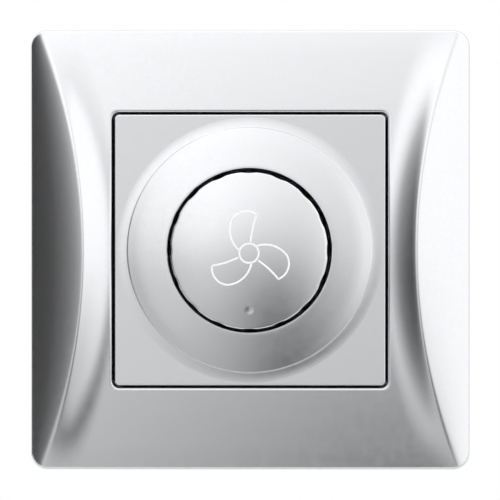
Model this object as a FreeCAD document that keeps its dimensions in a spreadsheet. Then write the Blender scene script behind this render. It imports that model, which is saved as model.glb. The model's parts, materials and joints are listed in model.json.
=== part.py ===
"""Rotary fan speed control for a wall box: cover frame, centre plate, knob and insert.

The wall's surface is the plane y = 0 and the room lies towards -Y. Sizes named
height are measured off the wall towards the room, and sizes named depth are
measured from the wall's surface into the box. The knob turns about the Y axis.
"""
import FreeCAD, Part
import math
import os
import re

import Sketcher
from FreeCAD import Placement, Rotation, Vector

SIZES = {
    # How far a cutting shape passes the face that it cuts
    "overcut": 1.0,
    # Cover frame
    "frame_width": 82.0,
    "frame_corner": 3.1,
    "frame_wall": 2.0,
    "rim_height": 6.4,
    "face_height": 9.3,
    "face_fall": 1.9,
    "ridge_rise": 1.2,
    "ridge_end_rise": 0.12,
    "ridge_inset": 9.9,
    "ridge_end_inset": 2.2,
    "sweep_width": 3.4,
    "skirt_wall": 1.5,
    "ledge_width": 1.0,
    "ledge_height": 2.8,
    # Centre plate
    "plate_width": 50.6,
    "plate_corner": 1.0,
    "plate_gap": 0.32,
    "plate_height": 9.0,
    "plate_skin": 1.6,
    "plate_edge": 0.3,
    "collar_radius": 24.4,
    "collar_flank": 1.7,
    "collar_edge_rise": 2.3,
    "collar_crown_rise": 3.9,
    "collar_shoulder": 5.3,
    "collar_shoulder_share": 0.7,
    "collar_bevel": 0.4,
    "collar_bevel_drop": 0.3,
    "collar_skin": 1.5,
    "well_wall": 1.3,
    "well_floor_height": 5.1,
    "well_floor": 1.4,
    # Knob
    "knob_radius": 14.6,
    "knob_gap": 0.62,
    "knob_height": 19.8,
    "knob_crown": 0.8,
    "knob_edge": 0.6,
    "knob_wall": 1.6,
    "knob_skin": 1.8,
    "knob_foot_gap": 0.7,
    "boss_radius": 5.2,
    "boss_foot_height": 9.2,
    "rib_thickness": 1.2,
    "rib_length": 5.0,
    "flute_count": 16,
    "flute_depth": 0.32,
    "flute_radius": 3.6,
    "dimple_radius": 0.75,
    "dimple_depth": 0.3,
    "dimple_reach": 11.0,
    # Pictogram
    "print_thickness": 0.05,
    "line_width": 0.34,
    "hub_radius": 1.95,
    "blade_reach": 7.75,
    "symbol_drop": 0.45,
    # Shaft and bush
    "shaft_radius": 3.0,
    "shaft_flat": 1.5,
    "shaft_tip_height": 17.4,
    "shaft_round_height": 8.9,
    "shaft_round_depth": 0.9,
    "shaft_end_depth": 15.0,
    "shaft_fit": 0.03,
    "press_gap": 0.04,
    "bush_radius": 4.95,
    "bush_height": 8.2,
    "bush_clearance": 0.15,
    "bush_bevel": 0.4,
    "shaft_bevel": 0.4,
    "clip_thickness": 0.4,
    "clip_width": 3.6,
    "clip_length": 7.0,
    # Nuts and washer
    "nut_flats": 13.0,
    "bush_nut_thickness": 1.9,
    "washer_radius": 7.2,
    "washer_thickness": 0.5,
    "plate_nut_radius": 7.6,
    "plate_nut_thickness": 2.2,
    "nut_slot": 1.6,
    # Support frame
    "support_margin": 3.5,
    "support_corner": 6.0,
    "support_thickness": 1.2,
    "box_slot_inset": 5.5,
    "box_slot_length": 7.0,
    "box_slot_width": 3.6,
    # Housing
    "housing_width": 42.0,
    "housing_depth": 24.0,
    "housing_wall": 1.6,
    "housing_chamfer": 3.2,
    "post_width": 3.0,
    "post_inset": 1.5,
    "ear_width": 8.0,
    "ear_depth": 4.6,
    "ear_edge": 2.9,
    "ear_screw_margin": 0.32,
    "ear_screw_radius": 1.2,
    "ear_screw_head": 2.0,
    "ear_screw_head_height": 1.3,
    "ear_screw_grip": 3.7,
    "ear_screw_slot": 0.6,
    "screw_clearance": 0.15,
    # Circuit board
    "board_thickness": 1.6,
    "board_gap": 0.4,
    "board_top_inset": 3.0,
    "board_chamfer": 3.5,
    "shaft_hole_radius": 3.7,
    "leg_radius": 0.35,
    "leg_hole_radius": 0.55,
    "leg_tail": 1.0,
    "leg_root": 0.5,
    # Potentiometer
    "pot_radius": 11.0,
    "pot_depth": 7.0,
    "pot_wall": 0.6,
    "pot_front": 0.8,
    "pot_cover": 0.8,
    "track_thickness": 1.1,
    "wiper_hub": 5.6,
    "wiper_inset": 2.6,
    "wiper_width": 3.0,
    "wiper_thickness": 1.8,
    "sliding_gap": 0.05,
    "stop_width": 6.4,
    "stop_gap": 0.7,
    "stop_inset": 3.5,
    "pin_spacing": 3.5,
    "pin_width": 1.0,
    "pin_thickness": 0.5,
    "pin_inset": 2.2,
    "pin_notch": 1.4,
    "pin_overhang": 0.9,
    "knob_travel": 285.0,
    # Off switch
    "switch_radius": 8.0,
    "switch_depth": 6.8,
    "switch_wall": 0.9,
    "switch_rotor_radius": 6.6,
    "switch_rotor_thickness": 2.4,
    "bridge_inner_radius": 3.9,
    "bridge_outer_radius": 6.2,
    "bridge_thickness": 0.4,
    "bridge_gap_angle": 40.0,
    "contact_width": 1.6,
    "contact_thickness": 0.5,
    "contact_start": 4.4,
    "contact_reach": 9.3,
    # Lowest-speed trimmer
    "trimmer_inset": 4.6,
    "trimmer_z": 9.2,
    "trimmer_width": 6.4,
    "trimmer_thickness": 4.6,
    "trimmer_rotor_radius": 2.1,
    "trimmer_rotor_height": 2.0,
    "trimmer_slot": 0.6,
    "trimmer_slot_depth": 0.8,
    "trimmer_hole_gap": 0.5,
    "trimmer_leg_offset": 2.0,
    # Triac and heatsink
    "heatsink_inset": 2.9,
    "heatsink_thickness": 1.6,
    "heatsink_width": 24.0,
    "heatsink_end_gap": 0.8,
    "heatsink_flange": 6.0,
    "triac_width": 8.0,
    "triac_thickness": 2.7,
    "triac_rise": 1.6,
    "triac_end_gap": 0.4,
    "triac_pitch": 2.3,
    "triac_screw_inset": 4.0,
    "m3_radius": 1.5,
    "m3_head_radius": 2.7,
    "m3_head_height": 1.7,
    "m3_tail": 0.8,
    "m3_slot": 0.7,
    # Choke
    "choke_inset": 4.4,
    "choke_gap": 0.55,
    "choke_z": 0.5,
    "core_bore": 2.7,
    "core_width": 5.0,
    "winding_thickness": 0.85,
    "winding_angle": 310.0,
    "choke_leg_inset": 3.5,
    "choke_leg_rise": 1.2,
    "choke_leg_spacing": 3.2,
    # Small components
    "film_inset": 8.4,
    "film_width": 6.2,
    "film_height": 13.0,
    "film_end_gap": 1.8,
    "film_leg_inset": 1.2,
    "film_leg_spacing": 9.0,
    "film_edge": 0.6,
    "timing_inset": 5.6,
    "timing_leg_inset": 1.0,
    "timing_z": -12.2,
    "timing_width": 5.2,
    "timing_thickness": 2.5,
    "timing_length": 6.0,
    "resistor_radius": 1.15,
    "resistor_length": 6.4,
    "resistor_span": 9.6,
    "resistor_inset": 1.8,
    "resistor_stagger": 1.2,
    "resistor_pitch": 3.4,
    "diac_radius": 0.95,
    "diac_length": 3.8,
    "diac_span": 7.2,
    "diac_inset": 1.2,
    "diac_z": -2.0,
    # Fuse
    "fuse_inset": 3.4,
    "fuse_radius": 2.5,
    "fuse_length": 20.0,
    "fuse_cap_length": 5.0,
    "fuse_cap_wall": 0.3,
    "fuse_glass_wall": 0.5,
    "clip_metal": 0.4,
    "fuse_clip_width": 3.6,
    "clip_rise": 1.5,
    "clip_mouth": 4.0,
    # Terminals
    "terminal_count": 3,
    "terminal_pitch": 8.0,
    "block_width": 25.2,
    "block_gap": 0.2,
    "block_height": 8.3,
    "block_wall": 0.8,
    "cavity_width": 5.8,
    "cavity_rise": 4.0,
    "cavity_end_wall": 2.2,
    "cage_gap": 0.1,
    "cage_height": 5.6,
    "cage_wall": 0.8,
    "cage_leg_offset": 1.8,
    "wire_drop": 2.2,
    "wire_radius": 1.4,
    "wire_entry_radius": 1.6,
    "terminal_screw_radius": 1.4,
    "terminal_head_radius": 2.3,
    "terminal_head_height": 1.4,
    "terminal_slot": 0.6,
    "driver_radius": 2.0,
}

doc = FreeCAD.newDocument("FanSpeedControl")
sheet = doc.addObject("Spreadsheet::Sheet", "Sizes")
for row, (alias, number) in enumerate(SIZES.items(), start=1):
    sheet.set(f"A{row}", alias)
    sheet.set(f"B{row}", str(number))
    sheet.setAlias(f"B{row}", alias)
doc.recompute()

SHORTHAND = {
    # Places that several pieces share, worked out from the sizes
    "half_frame": "(frame_width / 2)",
    "ridge_bow": "(ridge_inset - ridge_end_inset)",
    "ridge_radius": "((half_frame * half_frame + ridge_bow * ridge_bow) / (2 * ridge_bow))",
    "support_width": "(frame_width - 2 * frame_wall - 2 * support_margin)",
    "box_screw_spacing": "(support_width - 2 * box_slot_inset)",
    "ear_screw_reach": "(opening_width / 2 - ledge_width - ear_screw_head - ear_screw_margin)",
    "ear_reach": "(ear_screw_reach + ear_edge)",
    "opening_width": "(plate_width + 2 * plate_gap)",
    "knob_hole_radius": "(knob_radius + knob_gap)",
    "knob_foot_height": "(well_floor_height + knob_foot_gap)",
    "knob_roof_height": "(knob_height - knob_skin)",
    "dome_radius": "((knob_radius * knob_radius + knob_crown * knob_crown) / (2 * knob_crown))",
    "crown_height": "(knob_height + knob_crown)",
    "board_rear": "(pot_depth + board_thickness)",
    "floor_depth": "(housing_depth - housing_wall)",
    "half_housing": "(housing_width / 2)",
    "inner_half": "(housing_width / 2 - housing_wall)",
    "track_depth": "(pot_depth - pot_cover - track_thickness)",
    "washer_height": "(support_thickness + washer_thickness)",
    "cage_width": "(cavity_width - 2 * cage_gap)",
    "cage_top": "(cavity_top - cage_gap)",
    "wiper_reach": "(pot_radius - wiper_inset)",
    "stop_reach": "(pot_radius - stop_inset)",
    "pin_start": "(pot_radius - pin_inset)",
    "pin_reach": "(pot_radius + pin_overhang)",
    "board_half": "(inner_half - board_gap)",
    "board_top": "(board_half - board_top_inset)",
    "trimmer_x": "(board_half - trimmer_inset)",
    "heatsink_z": "(inner_half - heatsink_inset)",
    "heatsink_depth": "(floor_depth - heatsink_end_gap)",
    "triac_start_depth": "(board_rear + triac_rise)",
    "triac_length": "(heatsink_depth - triac_end_gap - triac_start_depth)",
    "triac_screw_depth": "(heatsink_depth - triac_screw_inset)",
    "choke_x": "(board_half - choke_inset)",
    "choke_leg_x": "(board_half - choke_leg_inset)",
    "choke_depth": "((board_rear + floor_depth) / 2)",
    "core_radius": "((floor_depth - board_rear) / 2 - winding_thickness - choke_gap)",
    "film_x": "(board_half - film_inset)",
    "film_length": "(floor_depth - board_rear - film_end_gap)",
    "timing_x": "(board_half - timing_inset)",
    "resistor_x": "(board_half - resistor_inset)",
    "diac_x": "(board_half - diac_inset)",
    "fuse_z": "(fuse_inset - board_half)",
    "fuse_depth": "(pot_depth - clip_metal - press_gap - fuse_radius)",
    "block_bottom": "(block_gap - inner_half)",
    "block_top": "(block_bottom + block_height)",
    "cavity_top": "(block_top - block_wall)",
    "cavity_start_depth": "(board_rear + cavity_rise)",
    "cavity_end_depth": "(floor_depth - cavity_end_wall)",
    "wire_z": "(cavity_top - wire_drop)",
    "screw_depth": "((cavity_start_depth + cavity_end_depth) / 2)",
    "bridge_rear": "(board_rear + switch_depth - switch_wall - contact_thickness"
                   " - 2 * sliding_gap)",
}


def bound(formula):
    """The formula with every named size pointed at the sheet."""

    def point(word):
        name = word.group()
        if name in SHORTHAND:
            return bound(SHORTHAND[name])
        return f"Sizes.{name}" if name in SIZES else name

    return re.sub(r"[a-z_][a-z_0-9]*", point, str(formula))


def value(formula):
    """The number that a formula of named sizes stands for now."""
    return float(sheet.evalExpression(bound(formula)))


def bind(thing, **formulas):
    """Tie properties to formulas; a double underscore in a name stands for a dot."""
    for name, formula in formulas.items():
        thing.setExpression(name.replace("__", "."), bound(formula))


def place(thing, x="0", y="0", z="0", rotation=None):
    """Put a thing at a place given by formulas."""
    if rotation is not None:
        thing.Placement = Placement(Vector(), rotation)
    bind(thing, Placement__Base__x=x, Placement__Base__y=y, Placement__Base__z=z)
    return thing


# Primitives and booleans

ALONG = {
    "x": Rotation(Vector(0, 1, 0), 90),
    "y": Rotation(Vector(1, 0, 0), -90),
    "z": Rotation(),
}


def block(name, x, y, z, length, depth, height):
    """Box from its low corner."""
    box = doc.addObject("Part::Box", name)
    bind(box, Length=length, Width=depth, Height=height)
    return place(box, x, y, z)


def rod(name, radius, length, x="0", y="0", z="0", along="y"):
    """Cylinder that starts at a place and runs along an axis."""
    cylinder = doc.addObject("Part::Cylinder", name)
    bind(cylinder, Radius=radius, Height=length)
    return place(cylinder, x, y, z, ALONG[along])


def cut(name, base, *tools):
    """The base less the tools."""
    result = doc.addObject("Part::Cut", name)
    result.Base = base
    result.Tool = tools[0] if len(tools) == 1 else join(f"{name}_tools", *tools)
    return result


def join(name, *pieces):
    """One solid of pieces that meet."""
    result = doc.addObject("Part::MultiFuse", name)
    result.Shapes = list(pieces)
    result.Refine = True
    return result


def common(name, first, second):
    """What two shapes share."""
    result = doc.addObject("Part::Common", name)
    result.Base = first
    result.Tool = second
    return result


def group(name, pieces):
    """Like pieces that stay separate solids."""
    result = doc.addObject("Part::Compound", name)
    result.Links = list(pieces)
    return result


# Bodies and sketches

def new_body(name):
    return doc.addObject("PartDesign::Body", name)


def sketch_on(body, role, offset="0"):
    """Sketch on a plane of the body's own origin, moved along the plane's normal."""
    sketch = body.newObject("Sketcher::SketchObject", f"{body.Name}_sketch")
    plane = next(item for item in body.Origin.OriginFeatures if item.Role == role)
    sketch.AttachmentSupport = [(plane, "")]
    sketch.MapMode = "FlatFace"
    bind(sketch, AttachmentOffset__Base__z=offset)
    return sketch


def front_sketch(body, height="0"):
    """Sketch parallel to the wall, at a height off it."""
    return sketch_on(body, "XZ_Plane", height)


def pin_vertex(sketch, edge, corner):
    """Hold an edge's first vertex at the place that two formulas give."""
    flat, upright = corner
    if str(flat) == "0":
        sketch.addConstraint(Sketcher.Constraint("PointOnObject", edge, 1, -2))
    else:
        number = sketch.addConstraint(
            Sketcher.Constraint("DistanceX", -1, 1, edge, 1, value(flat)))
        sketch.setExpression(f"Constraints[{number}]", bound(flat))
    if str(upright) == "0":
        sketch.addConstraint(Sketcher.Constraint("PointOnObject", edge, 1, -1))
    else:
        number = sketch.addConstraint(
            Sketcher.Constraint("DistanceY", -1, 1, edge, 1, value(upright)))
        sketch.setExpression(f"Constraints[{number}]", bound(upright))


def outline(sketch, corners):
    """Closed outline of straight edges between corners given by formulas."""
    first = sketch.GeometryCount
    count = len(corners)
    spots = [Vector(value(flat), value(upright), 0) for flat, upright in corners]
    for index in range(count):
        sketch.addGeometry(Part.LineSegment(spots[index], spots[(index + 1) % count]))
    for index in range(count):
        following = first + (index + 1) % count
        sketch.addConstraint(Sketcher.Constraint("Coincident", first + index, 2, following, 1))
    for index, corner in enumerate(corners):
        pin_vertex(sketch, first + index, corner)
    return sketch


def circle(sketch, radius, flat="0", upright="0"):
    """Circle by its radius and centre."""
    centre = Vector(value(flat), value(upright), 0)
    edge = sketch.addGeometry(Part.Circle(centre, Vector(0, 0, 1), value(radius)))
    number = sketch.addConstraint(Sketcher.Constraint("Radius", edge, value(radius)))
    sketch.setExpression(f"Constraints[{number}]", bound(radius))
    for kind, formula, axis in (("DistanceX", flat, -2), ("DistanceY", upright, -1)):
        if str(formula) == "0":
            sketch.addConstraint(Sketcher.Constraint("PointOnObject", edge, 3, axis))
        else:
            number = sketch.addConstraint(
                Sketcher.Constraint(kind, -1, 1, edge, 3, value(formula)))
            sketch.setExpression(f"Constraints[{number}]", bound(formula))
    return sketch


def rectangle(sketch, left, bottom, right, top):
    """Rectangle by its four sides."""
    return outline(sketch, [(left, bottom), (right, bottom), (right, top), (left, top)])


def square(sketch, half):
    """Square about the sketch's origin."""
    return rectangle(sketch, f"-({half})", f"-({half})", half, half)


def eight_sided(sketch, half, chamfer):
    """Square about the origin with its corners cut off."""
    near = f"({half}) - ({chamfer})"
    far = f"({half})"
    return outline(sketch, [
        (f"-({near})", f"-{far}"), (near, f"-{far}"), (far, f"-({near})"), (far, near),
        (near, far), (f"-({near})", far), (f"-{far}", near), (f"-{far}", f"-({near})"),
    ])


def d_outline(sketch, radius, flat):
    """Circle about the origin with a flat towards +Z."""
    reach = value(radius)
    level = value(flat)
    half = math.sqrt(reach * reach - level * level)
    start = math.atan2(level, -half)
    end = math.atan2(level, half) + 2 * math.pi
    round_part = Part.ArcOfCircle(Part.Circle(Vector(), Vector(0, 0, 1), reach), start, end)
    arc = sketch.addGeometry(round_part)
    chord = sketch.addGeometry(Part.LineSegment(Vector(half, level, 0), Vector(-half, level, 0)))
    sketch.addConstraint(Sketcher.Constraint("Coincident", arc, 3, -1, 1))
    sketch.addConstraint(Sketcher.Constraint("Coincident", chord, 1, arc, 2))
    sketch.addConstraint(Sketcher.Constraint("Coincident", chord, 2, arc, 1))
    sketch.addConstraint(Sketcher.Constraint("Horizontal", chord))
    number = sketch.addConstraint(Sketcher.Constraint("Radius", arc, reach))
    sketch.setExpression(f"Constraints[{number}]", bound(radius))
    number = sketch.addConstraint(Sketcher.Constraint("DistanceY", -1, 1, chord, 1, level))
    sketch.setExpression(f"Constraints[{number}]", bound(flat))
    return sketch


def pad(body, sketch, length, into_wall=False):
    """Material from a sketch, towards the room unless it goes into the wall."""
    feature = body.newObject("PartDesign::Pad", f"{body.Name}_pad")
    feature.Profile = sketch
    feature.Reversed = into_wall
    bind(feature, Length=length)
    return feature


def pocket(body, sketch, length, to_room=False):
    """Cut from a sketch, into the wall unless it goes towards the room."""
    feature = body.newObject("PartDesign::Pocket", f"{body.Name}_pocket")
    feature.Profile = sketch
    feature.Reversed = to_room
    bind(feature, Length=length)
    return feature


def spin(body, corners, kind="PartDesign::Revolution"):
    """Turned form about Y, of corners given as radius and height off the wall."""
    sketch = sketch_on(body, "XY_Plane")
    outline(sketch, [(radius, f"-({height})" if str(height) != "0" else "0")
                     for radius, height in corners])
    feature = body.newObject(kind, f"{body.Name}_turned")
    feature.Profile = sketch
    feature.ReferenceAxis = (sketch, ["V_Axis"])
    feature.Angle = 360
    return feature


def turned(name, corners):
    """Body that is one turned form."""
    body = new_body(name)
    spin(body, corners)
    return body


def ring(name, inner, outer, low, high):
    """Turned ring between two heights off the wall."""
    return turned(name, [(inner, low), (outer, low), (outer, high), (inner, high)])


def soften(body, base, radius, chosen, kind="PartDesign::Fillet"):
    """Round or bevel those edges of a feature that a test picks out."""
    doc.recompute()
    names = [f"Edge{number}" for number, edge in enumerate(base.Shape.Edges, start=1)
             if chosen(edge)]
    feature = body.newObject(kind, f"{body.Name}_soft")
    feature.Base = (base, names)
    bind(feature, **{"Radius" if kind.endswith("Fillet") else "Size": radius})
    return feature


def runs_through(edge):
    """Whether an edge is straight and square to the wall."""
    low, high = edge.Vertexes[0].Point, edge.Vertexes[-1].Point
    level = abs(low.x - high.x) < 1e-6 and abs(low.z - high.z) < 1e-6
    return level and abs(low.y - high.y) > 1e-6


def at_height(formula):
    """Test for edges that lie wholly at one height off the wall."""
    level = -value(formula)
    return lambda edge: (abs(edge.BoundBox.YMin - level) < 1e-4
                         and abs(edge.BoundBox.YMax - level) < 1e-4)


def rounded_bar(name, width, corner, low, high):
    """Square bar about the Y axis between two heights, with rounded corners."""
    body = new_body(name)
    stock = pad(body, square(front_sketch(body, low), f"({width}) / 2"), f"({high}) - ({low})")
    soften(body, stock, corner, runs_through)
    return body


# Cover frame

def frame_section(level, inset):
    """Closed outline of the frame across one level, smaller by an inset for its inside."""
    half = value("half_frame") - inset
    rise_share = 1 - (level / value("half_frame")) ** 2
    face = value("face_height - face_fall") + value("face_fall") * rise_share - inset
    rise = value("ridge_end_rise") + value("ridge_rise - ridge_end_rise") * rise_share
    ridge = face + rise
    rim = value("rim_height") - inset
    arc_radius = value("ridge_radius")
    bow = arc_radius - math.sqrt(arc_radius ** 2 - level ** 2)
    crest = half - value("ridge_inset") + bow
    sweep = value("sweep_width")
    foot = crest - sweep
    base = 0 if inset == 0 else -value("frame_wall")

    sweep_radius = (sweep ** 2 + rise ** 2) / (2 * rise)
    sweep_turn = math.asin(sweep / sweep_radius) / 2
    sweep_middle = (foot + sweep_radius * math.sin(sweep_turn),
                    face + sweep_radius * (1 - math.cos(sweep_turn)))
    band = half - crest
    drop = ridge - rim
    band_radius = (band ** 2 + drop ** 2) / (2 * drop)
    band_turn = math.asin(band / band_radius) / 2
    band_middle = (crest + band_radius * math.sin(band_turn),
                   ridge - band_radius * (1 - math.cos(band_turn)))

    def spot(across, height):
        return Vector(across, -height, level)

    def bend(start, middle, end):
        return Part.Arc(spot(*start), spot(*middle), spot(*end)).toShape()

    def line(start, end):
        return Part.LineSegment(spot(*start), spot(*end)).toShape()

    def mirror(point):
        return (-point[0], point[1])

    corner, edge, crease, toe = (half, base), (half, rim), (crest, ridge), (foot, face)
    return Part.Wire([
        line(mirror(corner), mirror(edge)),
        bend(mirror(edge), mirror(band_middle), mirror(crease)),
        bend(mirror(crease), mirror(sweep_middle), mirror(toe)),
        line(mirror(toe), toe),
        bend(toe, sweep_middle, crease),
        bend(crease, band_middle, edge),
        line(edge, corner),
        line(corner, mirror(corner)),
    ])


def frame_form(name, inset):
    """Solid lofted through outlines from the frame's bottom to its top."""
    half = value("half_frame") - inset
    steps = 4
    wires = [frame_section(half * step / steps, inset) for step in range(-steps, steps + 1)]
    form = doc.addObject("Part::Feature", name)
    form.Shape = Part.makeLoft(wires, True, False)
    form.Placement = Placement()
    return form


def make_frame():
    """Frame: ridged skin, hollow behind, with a skirt and a ledge round its opening."""
    skin = common("frame_skin", frame_form("frame_form", 0),
                  rounded_bar("frame_stock", "frame_width", "frame_corner",
                              "0", "3 * face_height"))
    shell = cut("frame_shell", skin, frame_form("frame_hollow", value("frame_wall")))
    skirt = common("frame_skirt", skin,
                   rounded_bar("skirt_stock", "opening_width + 2 * skirt_wall",
                               "plate_corner + plate_gap + skirt_wall",
                               "support_thickness", "3 * face_height"))
    whole = join("frame_whole", shell, skirt)
    opening = rounded_bar("plate_opening", "opening_width", "plate_corner + plate_gap",
                          "ledge_height", "3 * face_height")
    window = rounded_bar("ledge_opening", "opening_width - 2 * ledge_width",
                         "plate_corner", "-frame_wall", "ledge_height")
    return cut("frame", whole, opening, window)


# Centre plate

# Two bends of the collar's flank, as shares of its width and its rise
FLANK_SHARES = [(0.45, 0.35), (0.8, 0.8)]


def make_centre_plate():
    """Plate with a skirt on the frame's ledge, a collar, and a well round the knob."""
    body = new_body("centre_plate")
    stock = pad(body, square(front_sketch(body, "ledge_height"), "plate_width / 2"),
                "plate_height - ledge_height")
    corners = soften(body, stock, "plate_corner", runs_through)
    soften(body, corners, "plate_edge", at_height("plate_height"))
    edge_rise = "collar_edge_rise"
    gain = f"(collar_crown_rise - {edge_rise})"
    spin(body, [
        ("knob_hole_radius", "plate_height - plate_skin / 2"),
        ("collar_radius", "plate_height - plate_skin / 2"),
        ("collar_radius", "plate_height"),
        *((f"collar_radius - collar_flank * {across}", f"plate_height + {edge_rise} * {up}")
          for across, up in FLANK_SHARES),
        ("collar_radius - collar_flank", f"plate_height + {edge_rise}"),
        ("knob_hole_radius + collar_shoulder",
         f"plate_height + {edge_rise} + collar_shoulder_share * {gain}"),
        ("knob_hole_radius + collar_bevel", "plate_height + collar_crown_rise"),
        ("knob_hole_radius", "plate_height + collar_crown_rise - collar_bevel_drop"),
    ])
    behind = front_sketch(body, "ledge_height")
    square(behind, "plate_width / 2 - skirt_wall")
    circle(behind, "knob_hole_radius + well_wall")
    pocket(body, behind, "plate_height - plate_skin - ledge_height", to_room=True)
    spin(body, [
        ("knob_hole_radius + well_wall", "ledge_height"),
        ("collar_radius - collar_flank - collar_skin", "ledge_height"),
        ("collar_radius - collar_flank - collar_skin",
         "plate_height + collar_edge_rise - collar_skin"),
        ("knob_hole_radius + well_wall", "plate_height + collar_crown_rise - collar_skin"),
    ], "PartDesign::Groove")
    spin(body, [
        ("0", "well_floor_height"),
        ("knob_hole_radius", "well_floor_height"),
        ("knob_hole_radius", "2 * plate_height"),
        ("0", "2 * plate_height"),
    ], "PartDesign::Groove")
    foot = front_sketch(body, "well_floor_height - well_floor")
    circle(foot, "knob_hole_radius + well_wall")
    pocket(body, foot, "plate_height")
    bush_hole = front_sketch(body, "plate_height")
    circle(bush_hole, "bush_radius + bush_clearance")
    pocket(body, bush_hole, "plate_height")
    return body


# Knob and its pictogram

def make_knob():
    """Hollow knob with a domed face, a boss on the shaft, four ribs and a fluted skirt."""
    body = new_body("knob_blank")
    profile = sketch_on(body, "XY_Plane")
    rim = Vector(value("knob_radius"), -value("knob_height"), 0)
    crown = Vector(0, -value("crown_height"), 0)
    centre_y = value("dome_radius") - value("crown_height")
    swing = math.asin(value("knob_radius") / value("dome_radius")) / 2
    middle = Vector(value("dome_radius") * math.sin(swing),
                    centre_y - value("dome_radius") * math.cos(swing), 0)
    foot_level = -value("knob_foot_height")
    dome = profile.addGeometry(Part.Arc(crown, middle, rim))
    side = profile.addGeometry(Part.LineSegment(rim, Vector(rim.x, foot_level, 0)))
    foot = profile.addGeometry(
        Part.LineSegment(Vector(rim.x, foot_level, 0), Vector(0, foot_level, 0)))
    axis = profile.addGeometry(Part.LineSegment(Vector(0, foot_level, 0), crown))
    ends = profile.Geometry[dome]
    crown_end = 1 if ends.StartPoint.x < ends.EndPoint.x else 2
    for first, second in (((dome, 3 - crown_end), (side, 1)), ((side, 2), (foot, 1)),
                          ((foot, 2), (axis, 1)), ((axis, 2), (dome, crown_end))):
        profile.addConstraint(Sketcher.Constraint("Coincident", *first, *second))
    profile.addConstraint(Sketcher.Constraint("PointOnObject", dome, 3, -2))
    profile.addConstraint(Sketcher.Constraint("PointOnObject", axis, 2, -2))
    pin_vertex(profile, side, ("knob_radius", "-knob_height"))
    pin_vertex(profile, foot, ("knob_radius", "-knob_foot_height"))
    pin_vertex(profile, axis, ("0", "-knob_foot_height"))
    number = profile.addConstraint(
        Sketcher.Constraint("Radius", dome, value("dome_radius")))
    profile.setExpression(f"Constraints[{number}]", bound("dome_radius"))
    solid = body.newObject("PartDesign::Revolution", "knob_turned")
    solid.Profile = profile
    solid.ReferenceAxis = (profile, ["V_Axis"])
    solid.Angle = 360
    soften(body, solid, "knob_edge", at_height("knob_height"))

    hollow = front_sketch(body, "knob_foot_height")
    circle(hollow, "knob_radius - knob_wall")
    pocket(body, hollow, "knob_roof_height - knob_foot_height", to_room=True)
    boss = front_sketch(body, "boss_foot_height")
    circle(boss, "boss_radius")
    pad(body, boss, "knob_roof_height - boss_foot_height + knob_skin / 4")
    ribs = front_sketch(body, "knob_roof_height - rib_length")
    reach = "(knob_radius - knob_wall / 2)"
    thin = "(rib_thickness / 2)"
    outline(ribs, [
        (f"-{thin}", f"-{reach}"), (thin, f"-{reach}"), (thin, f"-{thin}"), (reach, f"-{thin}"),
        (reach, thin), (thin, thin), (thin, reach), (f"-{thin}", reach),
        (f"-{thin}", thin), (f"-{reach}", thin), (f"-{reach}", f"-{thin}"),
        (f"-{thin}", f"-{thin}"),
    ])
    pad(body, ribs, "rib_length + knob_skin / 4")
    bore = d_outline(front_sketch(body, "boss_foot_height"), "shaft_radius + press_gap",
                     "shaft_flat + clip_thickness + 2 * press_gap")
    pocket(body, bore, "shaft_tip_height - boss_foot_height + press_gap", to_room=True)
    flute = front_sketch(body, "2 * crown_height")
    circle(flute, "flute_radius", "0", "knob_radius + flute_radius - flute_depth")
    first_flute = pocket(body, flute, "3 * crown_height")
    pattern = body.newObject("PartDesign::PolarPattern", "flutes")
    pattern.Originals = [first_flute]
    pattern.Axis = (flute, ["N_Axis"])
    pattern.Angle = 360
    bind(pattern, Occurrences="flute_count")
    body.Tip = pattern

    ball_radius = "((dimple_radius ^ 2 + dimple_depth ^ 2) / (2 * dimple_depth))"
    ball = doc.addObject("Part::Sphere", "dimple_ball")
    bind(ball, Radius=ball_radius)
    place(ball, "0", f"-(crown_height - dimple_reach * dimple_reach / (2 * dome_radius)"
                     f" + {ball_radius} - dimple_depth)", "-dimple_reach")
    return cut("knob", body, ball)


# A blade's corners as shares of its reach: inner end, crest, outer bend, flank, tip, return
BLADE_ROOT = (0.16, 0.185)
BLADE_CREST = (0.56, 0.205)
BLADE_SHOULDER = (0.925, -0.05)
BLADE_FLANK = (0.945, -0.39)
BLADE_TIP = (0.69, -0.64)
BLADE_RETURN = (0.475, -0.405)
BLADE_HEEL = (0.205, -0.19)


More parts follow.
